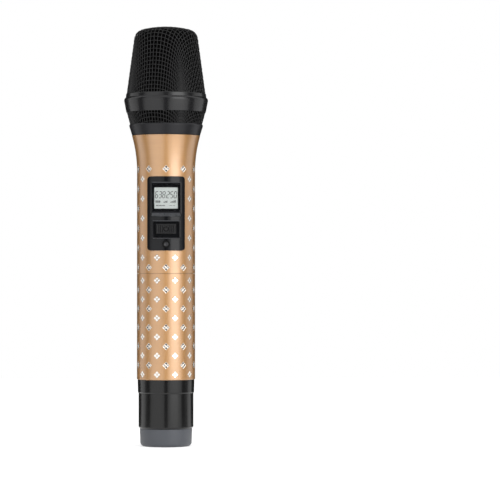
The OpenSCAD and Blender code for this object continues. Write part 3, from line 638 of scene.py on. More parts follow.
class MIC_OT_head_rings(bpy.types.Operator):
    """Neck ring under the grille, and the band round its widest part"""

    bl_idname = "mic.head_rings"
    bl_label = "Ring and band"

    def execute(self, context):
        head = look("mic_head")
        ring = satin("ring_satin", head.ring, (0.32, 0.42), 4.0, 0.002, 0.4)
        groove = RING_TOP - 2.3
        profile = [
            [18.7, 192.3], [20.8, 192.3], [21.1, 192.6], [22.9, 198.5], [22.5, RING_TOP],
            *[[lower_r(z) + LAP, z] for z in (RING_TOP, groove)],
            *[[lower_r(z) + LAP - 1, z] for z in (groove, RING_TOP)], [18.7, RING_TOP],
        ]
        lathed("ring_shell", profile, 0.25, ring, "head", "ring_metal", "neck_ring")
        band = satin("band_gloss", head.band, (0.18, 0.27), 5.0, 0.001)
        inner = lower_r(BAND_Z) + LAP
        profile = np.concatenate([
            [[inner, BAND_Z], [inner + 0.2, BAND_Z]], bow((23.8, 214.1), 2.2, -11, 58, 14),
            [[24.8, 218], [24.55, BAND_TOP], [24.55, 213.95], [22.25, 213.95], [22.25, 210.35],
             [inner, 210.35]],
        ])
        lathed("band_shell", profile, 0.25, band, "head", "band_metal", "grille_band")
        return {"FINISHED"}


# Woven wire and foam

# Basket: its radius at the band, how its side leans in with height, its shoulder's radius and
# height, and the angles of its side and of its dome's edge
BASKET_R, LEAN, SHOULDER_R, SHOULDER_Z = 24.5, 0.135, 6.4, 252.8
TAPER, DOME = math.atan(LEAN), math.radians(14)


def basket_outline(inset, below=0.0):
    """Outline of the basket from its crown to the band, drawn in by a distance: a shallow dome, an
    arc for the shoulder, a cone for the side, and a straight hem as far below the band's top."""
    side = np.array([math.cos(TAPER), math.sin(TAPER)])
    shoulder = np.array([BASKET_R - LEAN * (SHOULDER_Z - BAND_TOP), SHOULDER_Z])
    centre = shoulder - SHOULDER_R * side
    join = centre + SHOULDER_R * np.array([math.sin(DOME), math.cos(DOME)])
    crown_r = join[0] / math.sin(DOME)
    crown = (0.0, join[1] - crown_r * math.cos(DOME))
    turn = 90 - math.degrees(DOME)
    runs = [
        bow(crown, crown_r - inset, 90, turn, 16)[:-1],
        bow(centre, SHOULDER_R - inset, turn, math.degrees(TAPER), 24),
        [np.array([BASKET_R, BAND_TOP]) - inset * side],
    ]
    if below:
        runs.append([[BASKET_R - inset, BAND_TOP - below]])
    return np.concatenate(runs)


def weave(outline, near, crossing, sides=8, fine=4):
    """One of the two sets of wires of a round cloth that is drawn over an outline. A wire lies at a
    whole number of pitches from the cloth's middle. Distance from the middle becomes distance along
    the outline. In each quarter u runs from -1 to 1 across the wires' own way, and becomes
    tanh(c u)/tanh(c), which keeps the cells square there and draws them narrow on the diagonals.
    Each wire goes over and under by half its thickness."""
    head = look("mic_head")
    pitch, wire = head.pitch / MM, head.thickness / MM
    way, long = unit(np.diff(outline, axis=0))
    mark = np.concatenate([[0], np.cumsum(long)])
    lean = (way * long)[1:] + (way * long)[:-1]
    lean = np.concatenate([way[:1], lean / (long[1:] + long[:-1]), way[-1:]])
    count = int((near + mark[-1]) / pitch)
    a = (np.arange(-count, count + 1) * pitch)[:, None]
    b = np.arange(-fine * (count + 1), fine * (count + 1) + 1) * pitch / fine
    flow = np.hypot(a, b)
    psi = np.arctan2(a, b) if crossing else np.arctan2(b, a)
    s = np.clip(flow - near, 0, mark[-1])
    r, z, out, up = (
        np.interp(s, mark, v) for v in (outline[:, 0], outline[:, 1], -lean[:, 1], lean[:, 0])
    )
    quarter = np.round(psi / (TAU / 4)) * TAU / 4
    c = np.linspace(0.01, 3, 200)
    gain = 1 + 0.55 * (np.maximum(flow / np.maximum(r, 1e-6), 1) - 1)
    c = np.interp(gain, c / np.tanh(c), c)
    angle = head.turn + quarter + TAU / 8 * np.tanh(c * (psi - quarter) / (TAU / 8)) / np.tanh(c)
    over = 0.5 * wire * np.cos(math.pi * (a + b) / pitch) * (-1 if crossing else 1)
    normal = round_z(out, angle, up)
    kept = (flow >= near) & (flow <= near + mark[-1])
    paths = round_z(r, angle, z) + over[..., None] * normal
    rings = tubes(
        paths, normal, np.where(kept, wire / 2, 0.0), sides, head.width / head.thickness
    )
    n, m = rings.shape[:2]
    i, j, k = np.ogrid[:n, :m - 1, :sides]
    this, that = (i * m + j) * sides, (i * m + j + 1) * sides
    turn = (k + 1) % sides
    faces = np.stack([this + k, this + turn, that + turn, that + k], -1)
    return Shell().add(rings, faces[kept[:, :-1] | kept[:, 1:]])


class MIC_OT_woven_mesh(bpy.types.Operator):
    """Basket and lower mesh of woven wire, each in two sets of wires"""

    bl_idname = "mic.woven_mesh"
    bl_label = "Woven mesh"

    def execute(self, context):
        head = look("mic_head")
        wire = head.thickness / MM
        coated = satin("wire_coated", head.wire, (0.3, 0.45), 6.0, 0.002, Specular_IOR_Level=0.42)
        hem, foot = lower_r(BAND_Z) - wire, RING_TOP - 2.0
        lower = np.array([[hem, BAND_Z + 2.0], [hem, BAND_Z], [lower_r(foot) - wire, foot]])
        meshes = (("basket_wire_", "grille_basket", basket_outline(wire, 3.0), 0.0),
                  ("lower_wire_", "lower_mesh", lower, 44.0))
        for crossing, way in ((False, "down"), (True, "across")):
            for name, node, outline, near in meshes:
                shell = weave(outline, near, crossing)
                piece(name + way, shell, [coated], "head", "mesh_wire", node, crease=60)
        return {"FINISHED"}


class MIC_OT_foam(bpy.types.Operator):
    """Foam cup behind the wire"""

    bl_idname = "mic.foam"
    bl_label = "Foam"

    def execute(self, context):
        foam = satin("foam_open", look("mic_head").foam, (0.85, 1.0), 1.6, 0.25, detail=5.0,
                     Specular_IOR_Level=0.04)
        gap, thick, foot_z = 1.05, 2.5, RING_TOP + 0.2
        foot = lower_r(foot_z) - gap
        profile = np.concatenate([
            basket_outline(gap + thick), [[19.5, 216.3], [19.5, 207.8], [foot - thick, foot_z]],
            [[foot, foot_z], [22.0, 207.8], [22.0, 216.3]], basket_outline(gap)[::-1],
        ])
        shell = Shell().grid(turned(soften(profile, 0.6, closed=False)))
        cup = piece("foam_cup", shell, [foam], "head", "foam", "foam_liner")
        return {"FINISHED"}


# Display panel and controls

# Radii of the panel's face, its edge, its lap on the barrel and its back
PANEL_R, EDGE_R, LAP_R, BACK_R = 18.6, 18.42, 18.05, 15.8
# Depths of the blocks' fronts, the display's seat and face, the switch's pocket, and the foot of
# the display block's slope
FRONT_Y, SEAT_Y, DISPLAY_Y, POCKET_Y, SLOPE_Y = -19.3, -18.2, -17.65, -17.4, -18.1
DISPLAY_Z, KNOB_Z, BUTTON_Z = 153.4, 134.3, 124.9
# The button's dish, its floor and the shaft under it: radii and depths
DISH_R, DISH_FLOOR_R, DISH_Y, SHAFT_R, SHAFT_Y = 2.45, 2.25, -18.1, 1.65, -16.5
# Outlines on the panel: half the width, foot, top and corner
OUTLINES = {
    "rim": (11.6, 121.0, 166.6, 2.0), "lip": (11.42, 121.18, 166.42, 1.82),
    "plug": (10.9, 121.7, 165.9, 1.3), "display": (9.55, 142.0, 163.2, 0.6),
    "front": (8.95, 144.2, 162.6, 0.5), "seat": (8.7, 145.0, 161.8, 0.8),
    "view": (7.25, 146.7, 159.8, 0.5), "switch": (9.0, 128.2, 139.5, 0.6),
    "brim": (8.45, 128.75, 138.95, 0.6), "pocket": (8.15, 129.05, 138.65, 0.8),
}
# Rows of faces between a block's second and third loops
CHAMFER = slice(SOFT_ROWS + SOFT_MIDDLE, 2 * SOFT_ROWS + SOFT_MIDDLE)


def block_loops(outline, slope_y, steps):
    """Loops of a block that stands on the panel: its outline on the panel, the same outline at the
    foot of its chamfer, and then the given (outline, depth) steps. Also gives 1 for the faces of
    the chamfer along its top and foot, which take a paler colour as a painted highlight."""
    foot, shoulder_y = curved(outline, PANEL_R), FRONT_Y + 0.26
    y = shoulder_y + (slope_y - shoulder_y) * outline[:, 2]
    shoulder = flat(outline, np.minimum(y, foot[:, 1] - 0.02))
    loops = [foot, shoulder] + [flat(loop, depth) for loop, depth in steps]
    rows = soften(np.stack(loops + [pole(loops[-1])]), 0.2, closed=False)
    painted_highlight = np.zeros((len(rows) - 1, len(outline)), int)
    painted_highlight[CHAMFER] = np.abs(np.roll(outline[:, 1], -1) - outline[:, 1]) < 1e-6
    return rows, painted_highlight


def circle(r, steps=64):
    """Loop round the button's middle, seen from the front."""
    t = np.arange(steps) * TAU / steps
    return np.stack([r * np.cos(t), BUTTON_Z + r * np.sin(t)], -1)


def panel_shell():
    """Gloss panel: a curved plate with its lap, two blocks, the display's window, the switch's
    pocket and the button's dish, as one closed skin."""
    shell = Shell()
    rim, lip, plug, display, front, seat, view, switch, brim, pocket = (
        oblong(*sizes) for sizes in OUTLINES.values()
    )
    middle = np.array([0, WINDOW_Z, 0])
    backs = [curved(middle + (plug - middle) * s, BACK_R) for s in (0.01, 0.3, 0.6, 0.85, 1.0)]
    edge = [curved(plug, LAP_R), curved(rim, LAP_R), curved(rim, EDGE_R), curved(lip, PANEL_R)]
    shell.grid(np.stack([pole(backs[0]), *backs, *edge]))
    for outline, slope_y, steps in (
        (display, SLOPE_Y, [(front, FRONT_Y), (seat, FRONT_Y), (seat, SEAT_Y), (view, SEAT_Y),
                            (view, DISPLAY_Y + 0.1)]),
        (switch, FRONT_Y + 0.6, [(brim, FRONT_Y), (pocket, FRONT_Y), (pocket, POCKET_Y)]),
    ):
        # The chamfers along each block's top and foot take the second finish, a painted highlight
        loops, painted_highlight = block_loops(outline, slope_y, steps)
        shell.grid(loops, finish=painted_highlight)
    dish = [curved(circle(DISH_R), PANEL_R)] + [
        flat(circle(r), y) for r, y in (
            (DISH_FLOOR_R, DISH_Y - 0.25), (DISH_FLOOR_R, DISH_Y), (SHAFT_R, DISH_Y),
            (SHAFT_R, SHAFT_Y),
        )
    ]
    # The dish takes the third, near-black finish: painted shade in the hollow
    shell.grid(soften(np.stack(dish + [pole(dish[-1])]), 0.12, closed=False), finish=2)
    levels = sorted(z for name in ("lip", "switch", "display") for z in OUTLINES[name][1:3])
    rows = np.concatenate([
        np.linspace(a + 0.45, b - 0.45, int((b - a) / 0.5)) for a, b in zip(levels[:-1], levels[1:])
    ])
    lattice = np.stack(np.meshgrid(np.linspace(-10.5, 10.5, 43), rows), -1).reshape(-1, 2)
    holes = [display[:, :2], switch[:, :2], circle(DISH_R)]
    points, faces = sheet(lip[:, :2], holes, lattice, 0.35)
    return shell.add(curved(points, PANEL_R), faces)


SEGMENTS = {
    "0": "abcdef", "1": "bc", "2": "abged", "3": "abgcd", "4": "fgbc",
    "5": "afgcd", "6": "afgedc", "7": "abc", "8": "abcdefg", "9": "abcdfg",
}
DIGIT_X, DIGIT_Z = (-5.75, -3.55, -1.35, 1.3, 3.5, 5.7), 1.85
# Half a digit's width and height, half a segment's width, the room at its ends, and the lean
DIGIT_W, DIGIT_H, SEGMENT_W, SEGMENT_GAP, DIGIT_LEAN = 0.72, 1.95, 0.2, 0.1, 0.12
# Where each segment's middle lies on a digit, in halves of its width and height, and 1 if upright
SPOTS = {
    "a": (0, 1, 0), "g": (0, 0, 0), "d": (0, -1, 0), "f": (-1, 0.5, 1), "b": (1, 0.5, 1),
    "e": (-1, -0.5, 1), "c": (1, -0.5, 1),
}
# Runs of plain marks: how many, x and its step, z and its step, half length and its step, half
# width, and 1 if upright. They are a point, a battery, two level scales, a row of blocks and two
# dashes.
MARK_RUNS = (
    (1, 0, 0, 0, 0, 0.18, 0, 0.18, 0), (2, -5.1, 0, -1.75, -1.3, 1.3, 0, 0.09, 0),
    (2, -6.4, 2.6, -2.4, 0, 0.65, 0, 0.09, 1), (1, -3.55, 0, -2.4, 0, 0.3, 0, 0.12, 1),
    (4, -6.0, 0.6, -2.4, 0, 0.42, 0, 0.2, 1), (5, -1.4, 0.5, -2.75, 0.09, 0.28, 0.09, 0.16, 1),
    (7, 2.8, 0.5, -2.75, 0.09, 0.28, 0.09, 0.16, 1), (9, -5.95, 0.62, -4.75, 0, 0.3, 0, 0.2, 1),
    (2, 2.9, 2.0, -4.75, 0, 0.9, -0.35, 0.1, 0),
)


def display_marks():
    """Rows of (x, z, half length, half width, upright, tapered) for each dark mark on the display:
    the digits' segments, and then the runs of plain marks."""
    halves = DIGIT_W - SEGMENT_GAP, DIGIT_H / 2 - SEGMENT_GAP
    rows = [
        (x + DIGIT_W * dx, DIGIT_Z + DIGIT_H * dz, halves[up], SEGMENT_W, up, 1)
        for x, digit in zip(DIGIT_X, look("mic_panel").reading)
        for dx, dz, up in map(SPOTS.get, SEGMENTS[digit])
    ]
    for count, x, dx, z, dz, half, more, wide, up in MARK_RUNS:
        rows += [(x + dx * k, z + dz * k, half + more * k, wide, up, 0) for k in range(count)]
    return np.array(rows)


def segment_shell():
    """Thin plates on the display. Each is a bar, and where it is tapered its two ends are drawn to
    points and it leans with its height above the digits' middle."""
    x, z, half, wide, upright, tapered = (v[:, None] for v in display_marks().T)
    nose, end = half - wide * tapered, wide * (1 - tapered)
    u = np.concatenate([-half, -nose, nose, half, nose, -nose], 1)
    v = np.concatenate([-end, -wide, -wide, -end, wide, wide], 1)
    pz = z + np.where(upright > 0, u, v)
    px = x + np.where(upright > 0, -v, u) + DIGIT_LEAN * (pz - DIGIT_Z) * tapered
    front = np.stack([px, 0 * px + DISPLAY_Y - 0.03, pz + DISPLAY_Z], -1)
    back = front + np.array([0, 0.02, 0])
    k = np.arange(6)
    faces = np.concatenate([
        [[0, 1, 2, 3], [0, 3, 4, 5], [9, 8, 7, 6], [11, 10, 9, 6]],
        np.stack([(k + 1) % 6, k, 6 + k, 6 + (k + 1) % 6], -1),
    ])
    points = np.concatenate([front, back], 1)
    return Shell().add(points, faces + 12 * np.arange(len(px))[:, None, None])


def knob_shell():
    """Slide knob: a pad whose face drops at its edge as a quarter round, with ribs cut by a cosine
    of x outside a round field, and a ring and bar cut into that field."""
    panel = look("mic_panel")
    half_x, half_z, round_r, top, skirt_y, back_y = 5.85, 2.9, 0.5, -19.7, -18.0, -17.5
    field_r, field_depth, mark_depth, soft = 2.3, 0.06, 0.34, 0.08
    ring_r, ring_w, ring_gap, bar_w, bar_h, bar_z = 1.45, 0.36, 0.6, 0.34, 0.85, 0.95
    x, z = np.meshgrid(np.linspace(-half_x, half_x, 151), np.linspace(-half_z, half_z, 77))
    near = np.minimum(half_x - np.abs(x), half_z - np.abs(z))
    edge = np.clip(round_r - near, 0, round_r)
    r, turn = np.hypot(x, z), np.abs(np.arctan2(x, z))
    field = ramp(field_r - r, 0.2)
    ribs = 0.5 + 0.5 * np.cos(TAU * x / (panel.rib_pitch / MM))
    ribs = ribs * (1 - field) * ramp(near - 0.4, 0.25)
    ring = ramp(ring_w - np.abs(r - ring_r), soft) * ramp(turn - ring_gap, 0.12)
    bar = ramp(bar_w - np.abs(x), soft) * ramp(bar_h - np.abs(z - bar_z), soft)
    mark = np.maximum(ring, bar)
    drop = round_r - np.sqrt(round_r**2 - edge**2)
    drop = drop + field_depth * field + panel.rib_depth / MM * ribs + mark_depth * mark
    # The ribs' grooves and the cut symbol take the second, near-black finish: painted shade in
    # these hollows
    sunk = np.maximum(mark, ribs - 0.4)
    sunk = np.where(sunk[1:, 1:] + sunk[:-1, :-1] > 1, 1, 0)
    x, z = squircle(x, z, half_x, half_z, round_r)
    face = np.stack([x, top + drop, z + KNOB_Z], -1)
    rim = border(face)
    skirt = rim * [1, 0, 1] + [0, skirt_y, 0]
    wider = np.array([(half_x + 0.4) / half_x, 1, (half_z + 0.2) / half_z])
    flange = (skirt - [0, 0, KNOB_Z]) * wider + [0, 0, KNOB_Z]
    back = flange * [1, 0, 1] + [0, back_y, 0]
    shell = Shell().grid(face, (False, False), sunk)
    return shell.grid(np.stack([pole(back), back, flange, skirt, rim]))


def button_shell():
    """Round button with a hollow face: loops of (radius, depth) about a line along Y. All but the
    hollow takes the rim's finish."""
    sides = [(0, -14.9), (2.3, -14.9), (2.3, -15.5), (1.55, -15.5), (1.55, -18.28), (1.42, -18.42),
             (1.25, -18.45)]
    hollow = [(1.05, -18.4), (0.7, -18.3), (0.35, -18.25), (0, -18.24)]
    loops = np.stack([flat(circle(r, 72), y) for r, y in sides + hollow])
    loops = soften(loops, 0.06, closed=False)
    row = np.arange(len(loops) - 1)[:, None]
    return Shell().grid(loops, finish=np.where(row < SOFT_ROWS * len(sides), 1, 0))


class MIC_OT_panel(bpy.types.Operator):
    """Gloss panel, the display behind its window, and the marks on it"""

    bl_idname = "mic.panel"
    bl_label = "Panel and display"

    def execute(self, context):
        panel = look("mic_panel")
        finishes = [
            satin("panel_gloss", panel.panel, (0.12, 0.22), 3.0, 0.001, Specular_IOR_Level=0.27),
            # Painted highlight: a paler colour for the blocks' chamfers, mixed with the panel's
            # colour by a noise
            satin("panel_painted_highlight", panel.painted_highlight, (0.24, 0.36), 0.6, 0.0, other=panel.panel),
            # Painted shade: a near-black colour for the button's dish
            satin("panel_dish_painted_shade", panel.groove, (0.45, 0.6), 5.0, 0.004, Specular_IOR_Level=0.2),
        ]
        shell = panel_shell()
        piece("panel_shell", shell, finishes, "transmitter", "panel_plastic", "display_bezel")
        dark = satin("segment_dark", panel.segment, (0.44, 0.56), 3.0, 0.0)
        piece("display_segments", segment_shell(), [dark], "transmitter", "lcd", crease=20)
        darker = tuple(0.93 * v for v in panel.display)
        dress(satin(
            "display_ground", panel.display, 0.35, 0.12, 0.0, other=darker,
            Emission_Color=(*panel.display, 1.0), Emission_Strength=0.05,
        ), "lcd_glass")
        clear = (0.01, 0.01, 0.012)
        dress(satin("lens_clear", clear, (0.03, 0.06), 0.4, 0.0, Alpha=0.08), "display_lens")
        return {"FINISHED"}


class MIC_OT_controls(bpy.types.Operator):
    """Ribbed slide knob and the round button"""

    bl_idname = "mic.controls"
    bl_label = "Knob and button"

    def execute(self, context):
        panel = look("mic_panel")
        finishes = [
            satin("knob_satin", panel.knob, (0.4, 0.52), 5.0, 0.004),
            # Painted shade: a near-black colour for the knob's grooves and symbol
            satin("knob_groove_painted_shade", panel.groove, (0.55, 0.7), 5.0, 0.004, Specular_IOR_Level=0.2),
        ]
        piece("knob_pad", knob_shell(), finishes, "slider", "knob_plastic", "slide_knob", crease=40)
        finishes = [
            moulded("button_satin", (44, 44, 48), 0.32), moulded("button_rim", (12, 12, 13), 0.4)
        ]
        piece("button_cap", button_shell(), finishes, "button", "button_plastic", "power_button")
        return {"FINISHED"}


# Threads, coils, leads and cells

# Distance of each cell's middle from the axis
CELL_X = 7.3
# Turns a shape upside down about X
OVER = np.array([1, -1, -1])


def threaded(profile, low, high, crest, depth, pitch=1.5, steps=144):
    """Turned profile whose outside between two heights carries a screw thread: the radius falls
    from its crest by depth times a triangle wave of height/pitch less angle/360 degrees."""
    z = np.arange(low, high, pitch / 10)
    after = np.flatnonzero((np.abs(profile[:, 0] - crest) < TINY) & (profile[:, 1] >= high))[0]
    fine = np.column_stack([0 * z + crest, z])
    run = np.concatenate([profile[:after], fine, profile[after:]])
    r, z = run[:, :1], run[:, 1:]
    wave = np.abs(((z - low) / pitch - np.arange(steps) / steps) % 1 - 0.5) * 2
    on = (np.abs(r - crest) < TINY) * ramp(np.minimum(z - low, high - z), 0.7 * pitch)
    return turned(run, steps, -depth * on * np.clip(1.25 * wave - 0.1, 0, 1))


class MIC_OT_threads(bpy.types.Operator):
    """Collars with screw threads, at the seam and at the neck, and the capsule's rubber mount"""

    bl_idname = "mic.threads"
    bl_label = "Threaded collars"

    def execute(self, context):
        black = satin("collar_black", screen(34, 34, 36), (0.3, 0.42), 3.0, 0.002, 0.7)
        seam = np.array([
            [15.35, 97], [16.4, 97], [16.7, 97.3], [16.7, 107], [16.75, 107.2], [16.75, 117],
            [13.4, 117], [13.4, 109], [8, 109], [8, 106.4], [15.35, 106.4],
        ])
        z = np.linspace(178.5, 192.2, 12)
        neck = np.concatenate([
            [[11.8, 178.5]], np.column_stack([barrel_r(z, 1.25), z]),
            [[18.6, 192.2], [18.6, 198.2], [18.3, 198.5], [15, 198.5], [15, 182], [11.8, 182]],
        ])
        for name, node, rows in (
            ("seam_collar", "joint_collar", threaded(seam, 97.5, 106.8, 16.7, 0.55)),
            ("neck_thread", "neck_collar", threaded(neck, 192.5, 198.0, 18.6, 0.5)),
        ):
            shell = Shell().grid(rows, (True, True))
            piece(name, shell, [black], "transmitter", "frame_plastic", node)
        mount = [
            [11.5, 190], [14.95, 190], [14.95, 198.5], [17.6, 198.5], [17.6, 200.5],
            [13.05, 200.5], [13.05, 190.95], [11.5, 190.95],
        ]
        rubber = rubbery("mount_rubber", (28, 28, 28))
        lathed("capsule_mount", mount, 0.5, rubber, "transmitter", "mount_rubber", "shock_mount")
        return {"FINISHED"}


def coil(r0, r1, height, curls, wire, rings=40):
    """Wire coiled about Z, its radius and height running evenly, with straight ends of one wire's
    thickness. Gives the path and the way out from Z at each point."""
    t = np.linspace(0, 1, curls * rings + 1)
    a, r, end = TAU * curls * t, r0 + (r1 - r0) * t, np.sign(height) * wire
    turns = np.stack([r * np.cos(a), r * np.sin(a), end + (height - 2 * end) * t], -1)
    path = np.concatenate([[[r0, 0, 0]], turns, [[*turns[-1, :2], height]]])
    return path, path * np.array([1, 1, 0])


class MIC_OT_coils(bpy.types.Operator):
    """Battery springs and the antenna's coil, of round wire"""

    bl_idname = "mic.coils"
    bl_label = "Springs and antenna"

    def execute(self, context):
        steel = plated("spring_steel", (206, 206, 204), 0.2)
        copper = plated("antenna_copper", (196, 122, 74), 0.24)
        spring = (4.4, 2.4, 5.0, 3, 0.6)
        for name, node, slot, made, sizes, flip, place in (
            ("spring_low", "battery_spring_lower", "contact_steel", steel, spring, 1,
             (-CELL_X, 0, 47.4)),
            ("spring_high", "battery_spring_upper", "contact_steel", steel, spring, OVER,
             (CELL_X, 0, 102.9)),
            ("antenna_wire", "antenna_coil", "copper", copper, (3.2, 3.2, -23.4, 9, 0.8), 1,
             (0, 0, 44)),
        ):
            path, out = coil(*sizes)
            shell = closed_tube(Shell(), path * flip + place, out * flip, sizes[-1] / 2, 10)
            piece(name, shell, [made], "transmitter", slot, node)
        return {"FINISHED"}


def route(points, steps=10):
    """Smooth run of points through a route: a cubic on each leg whose slope at a stop is half the
    way from the stop before to the stop after."""
    p = np.concatenate([points[:1], points, points[-1:]])
    a, b, c, d = (p[k:len(p) - 3 + k, None] for k in range(4))
    t = (np.arange(steps) / steps)[:, None]
    run = 2 * b + (c - a) * t + (2 * a - 5 * b + 4 * c - d) * t**2 + (3 * b - a - 3 * c + d) * t**3
    return np.concatenate([0.5 * run.reshape(-1, 3), p[-1:]])


class MIC_OT_leads(bpy.types.Operator):
    """Insulated leads from the tray to the board, and from the board to the capsule"""

    bl_idname = "mic.leads"
    bl_label = "Leads"

    def execute(self, context):
        power = [(4, -4, 106.3), (4, -4, 107.3), (4, -4, 108.3), (4, -4.4, 111.3), (4, -7, 116.5),
                 (4, -8, 119.5), (4, -8.8, 120.5), (4, -9.8, 120.5), (4, -10.8, 120.5)]
        signal = [(1, -13.3, 169.5), (1, -13.3, 170.5), (1, -13.3, 171.5), (1, -13.1, 174.1),
                  (1.3, -10.5, 177.5), (2, -6.4, 181.5), (2.5, -1.4, 184.9), (2.5, 0, 187.4),
                  (2.5, 0, 188.4), (2.5, 0, 189.4)]
        for name, points, radius, colours, slot, node in (
            ("power_leads", power, 0.5, ((170, 44, 34), (34, 34, 36)), "lead_jacket",
             "battery_leads"),
            ("signal_leads", signal, 0.45, ((196, 192, 184), (92, 92, 94)), "signal_jacket",
             "capsule_leads"),
        ):
            shell = Shell()
            for k, way in enumerate((1, -1)):
                path = route(np.array(points) * [way, 1, 1])
                closed_tube(shell, path, np.tile([1.0, 0, 0], (len(path), 1)), radius, 12, k)
            finishes = [rubbery(f"{name}_{k}", rgb) for k, rgb in enumerate(colours)]
            piece(name, shell, finishes, "transmitter", slot, node)
        return {"FINISHED"}


class MIC_OT_cells(bpy.types.Operator):
    """Two cells in plain sleeves, one each way up"""

    bl_idname = "mic.cells"
    bl_label = "Cells"

    def execute(self, context):
        finishes = [
            satin("cell_sleeve", screen(46, 98, 66), (0.24, 0.36), 1.0, 0.002, 0.3,
                  Coat_Weight=0.3),
            satin("cell_stripe", screen(188, 190, 188), (0.24, 0.36), 1.0, 0.002, 0.6),
            plated("cell_steel", (200, 200, 198), 0.22),
        ]
        bare_r, stripe_z = 6.7, 36.0
        profile = soften([
            [0, 0], [6.4, 0], [6.65, 0.25], [7.0, 0.05], [7.25, 0.6], [7.25, stripe_z],
            [7.25, stripe_z + 0.01], [7.25, 48.9], [7.0, 49.45], [6.6, 49.25], [6.2, 49.5],
            [2.7, 49.5], [2.7, 50.5], [0, 50.5],
        ], 0.2, closed=False)
        r, z = profile[:-1, :1], profile[:-1, 1:]
        which = np.where(r < bare_r, 2, np.where(z >= stripe_z, 1, 0))
        body = turned(profile, 96)
        for name, node, points in (
            ("cell_left", "battery_left", body + [-CELL_X, 0, 52.4]),
            ("cell_right", "battery_right", body * OVER + [CELL_X, 0, 97.9]),
        ):
            shell = Shell().grid(points, finish=which)
            piece(name, shell, finishes, "transmitter", "cell_wrap", node)
        return {"FINISHED"}


# Finishes of the CAD nodes that stay

INSIDE = (
    (moulded, "frame_moulded", (40, 40, 42), 0.5, "inner_frame", "battery_tray"),
    (plated, "contact_nickel", (204, 204, 202), 0.22, "contact_bridge", "contact_plates"),
    (plated, "shield_tin", (190, 191, 193), 0.35, "rf_shield"),
    (moulded, "chip_epoxy", (24, 24, 25), 0.6, "rf_chip"),
    (moulded, "socket_ivory", (226, 221, 206), 0.4, "lead_socket"),
    (moulded, "guide_milky", (228, 234, 234), 0.3, "backlight"),
    (plated, "switch_can", (160, 162, 164), 0.3, "slide_switch"),
    (moulded, "tact_black", (30, 30, 32), 0.4, "button_switch"),
    (moulded, "lever_black", (34, 34, 35), 0.4, "slide_lever"),
    (moulded, "plunger_ivory", (216, 211, 198), 0.4, "button_plunger"),
    (moulded, "capsule_moulded", (46, 46, 48), 0.42, "capsule_housing"),
    (plated, "yoke_plated", (150, 152, 155), 0.32, "capsule_yoke", "pole_plate"),
    (plated, "coil_copper", (190, 118, 70), 0.25, "voice_coil"),
    (moulded, "ring_ivory", (206, 202, 192), 0.4, "diaphragm_ring"),
    (moulded, "grid_moulded", (34, 34, 36), 0.38, "capsule_grid"),
    (plated, "screw_zinc", (188, 190, 192), 0.28, "board_screws", "frame_screws", "tray_screws"),
)


def dress(made, *nodes):
    """Gives CAD nodes a finish."""
    for node in nodes:
        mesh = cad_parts[node].data
        mesh.materials.clear()
        mesh.materials.append(made)


def board_finish():
    """Green solder mask with paler tracks, as bands of a wave."""
    made = finish("board_mask", screen(24, 92, 58), 0.0, 0.35, Coat_Weight=0.3)
    tree = made.node_tree
    wave = shading(tree, "TexWave", Scale=120.0, Distortion=6.0)
    tree.links.new(shading(tree, "TexCoord").outputs["Object"], wave.inputs["Vector"])
    two_tone(tree, wave.outputs["Fac"], screen(44, 124, 82))
    return made


class MIC_OT_inside(bpy.types.Operator):
    """Finishes of the frame, board, switches, capsule and screws inside"""

    bl_idname = "mic.inside"
    bl_label = "Inside"

    def execute(self, context):
        for make, name, rgb, roughness, *nodes in INSIDE:
            dress(make(name, rgb, roughness), *nodes)
        dress(board_finish(), "main_board")
        dress(rubbery("strip_pink", (208, 150, 156)), "contact_strip")
        fibre, darker = screen(166, 112, 58), screen(140, 90, 44)
        dress(satin("terminal_fibre", fibre, 0.6, 2.0, 0.01, other=darker), "terminal_board")
        dress(satin("magnet_sinter", screen(98, 100, 104), 0.45, 3.0, 0.006, 0.8), "capsule_magnet")
        film = screen(222, 206, 158)
        dress(satin("diaphragm_film", film, 0.18, 1.0, 0.002, Alpha=0.85), "diaphragm")
        return {"FINISHED"}


# Stage, in metres

# Softboxes: how far off they stand, how tall they are, and the height of their middle
SOFTBOX_FAR, SOFTBOX_TALL, SOFTBOX_Z = 1.2, 1.7, 0.3
# Dim cards: how far out their walls stand, and the two angles and the glow of each part
CARDS = (
    ("card_front", 2.4, (-7, 7, 0.04), (-7, 7, 0.06)),
    ("card_right", 1.4, (66, 99, 0.1), (65, 85, 0.13)),
    ("card_left", 1.4, (-94, -68, 0.12), (-85, -65, 0.13)),
    ("card_back_right", 1.0, (125, 175, 0.04), (125, 175, 0.04)),
    ("card_back_left", 1.0, (-175, -125, 0.04), (-175, -125, 0.04)),
)


def plane(name, corners, faces=((0, 1, 2, 3),)):
    """Sheet of four-sided faces."""
    mesh = bpy.data.meshes.new(name)
    mesh.from_pydata(corners, [], faces)
    made = bpy.data.objects.new(name, mesh)
    bpy.context.scene.collection.objects.link(made)
    return made


def seen_by(tree, *rays):
    """1 on a ray of any of the given kinds, else 0."""
    path = shading(tree, "LightPath")
    seen = path.outputs[rays[0]]
    for ray in rays[1:]:
        both = shading(tree, "Math")
        both.operation = "MAXIMUM"
        tree.links.new(seen, both.inputs[0])
        tree.links.new(path.outputs[ray], both.inputs[1])
        seen = both.outputs[0]
    return seen


def white_behind():
    """World that is white to the camera and in reflections, and a plain fill to all else."""
    world = bpy.data.worlds.new("studio")
    bpy.context.scene.world = world
    world.use_nodes = True
    tree = world.node_tree
    white = {"Color": (1, 1, 1, 1), "Strength": 1.0}
    fill = settle(tree.nodes["Background"], {**white, "Strength": look("mic_stage").fill})
    mix = shading(tree, "MixShader")
    sources = (
        seen_by(tree, "Is Camera Ray", "Is Glossy Ray", "Is Transmission Ray"),
        fill.outputs[0], shading(tree, "Background", **white).outputs[0],
    )
    for source, socket in zip(sources, mix.inputs):
        tree.links.new(source, socket)
    tree.links.new(mix.outputs[0], tree.nodes["World Output"].inputs["Surface"])


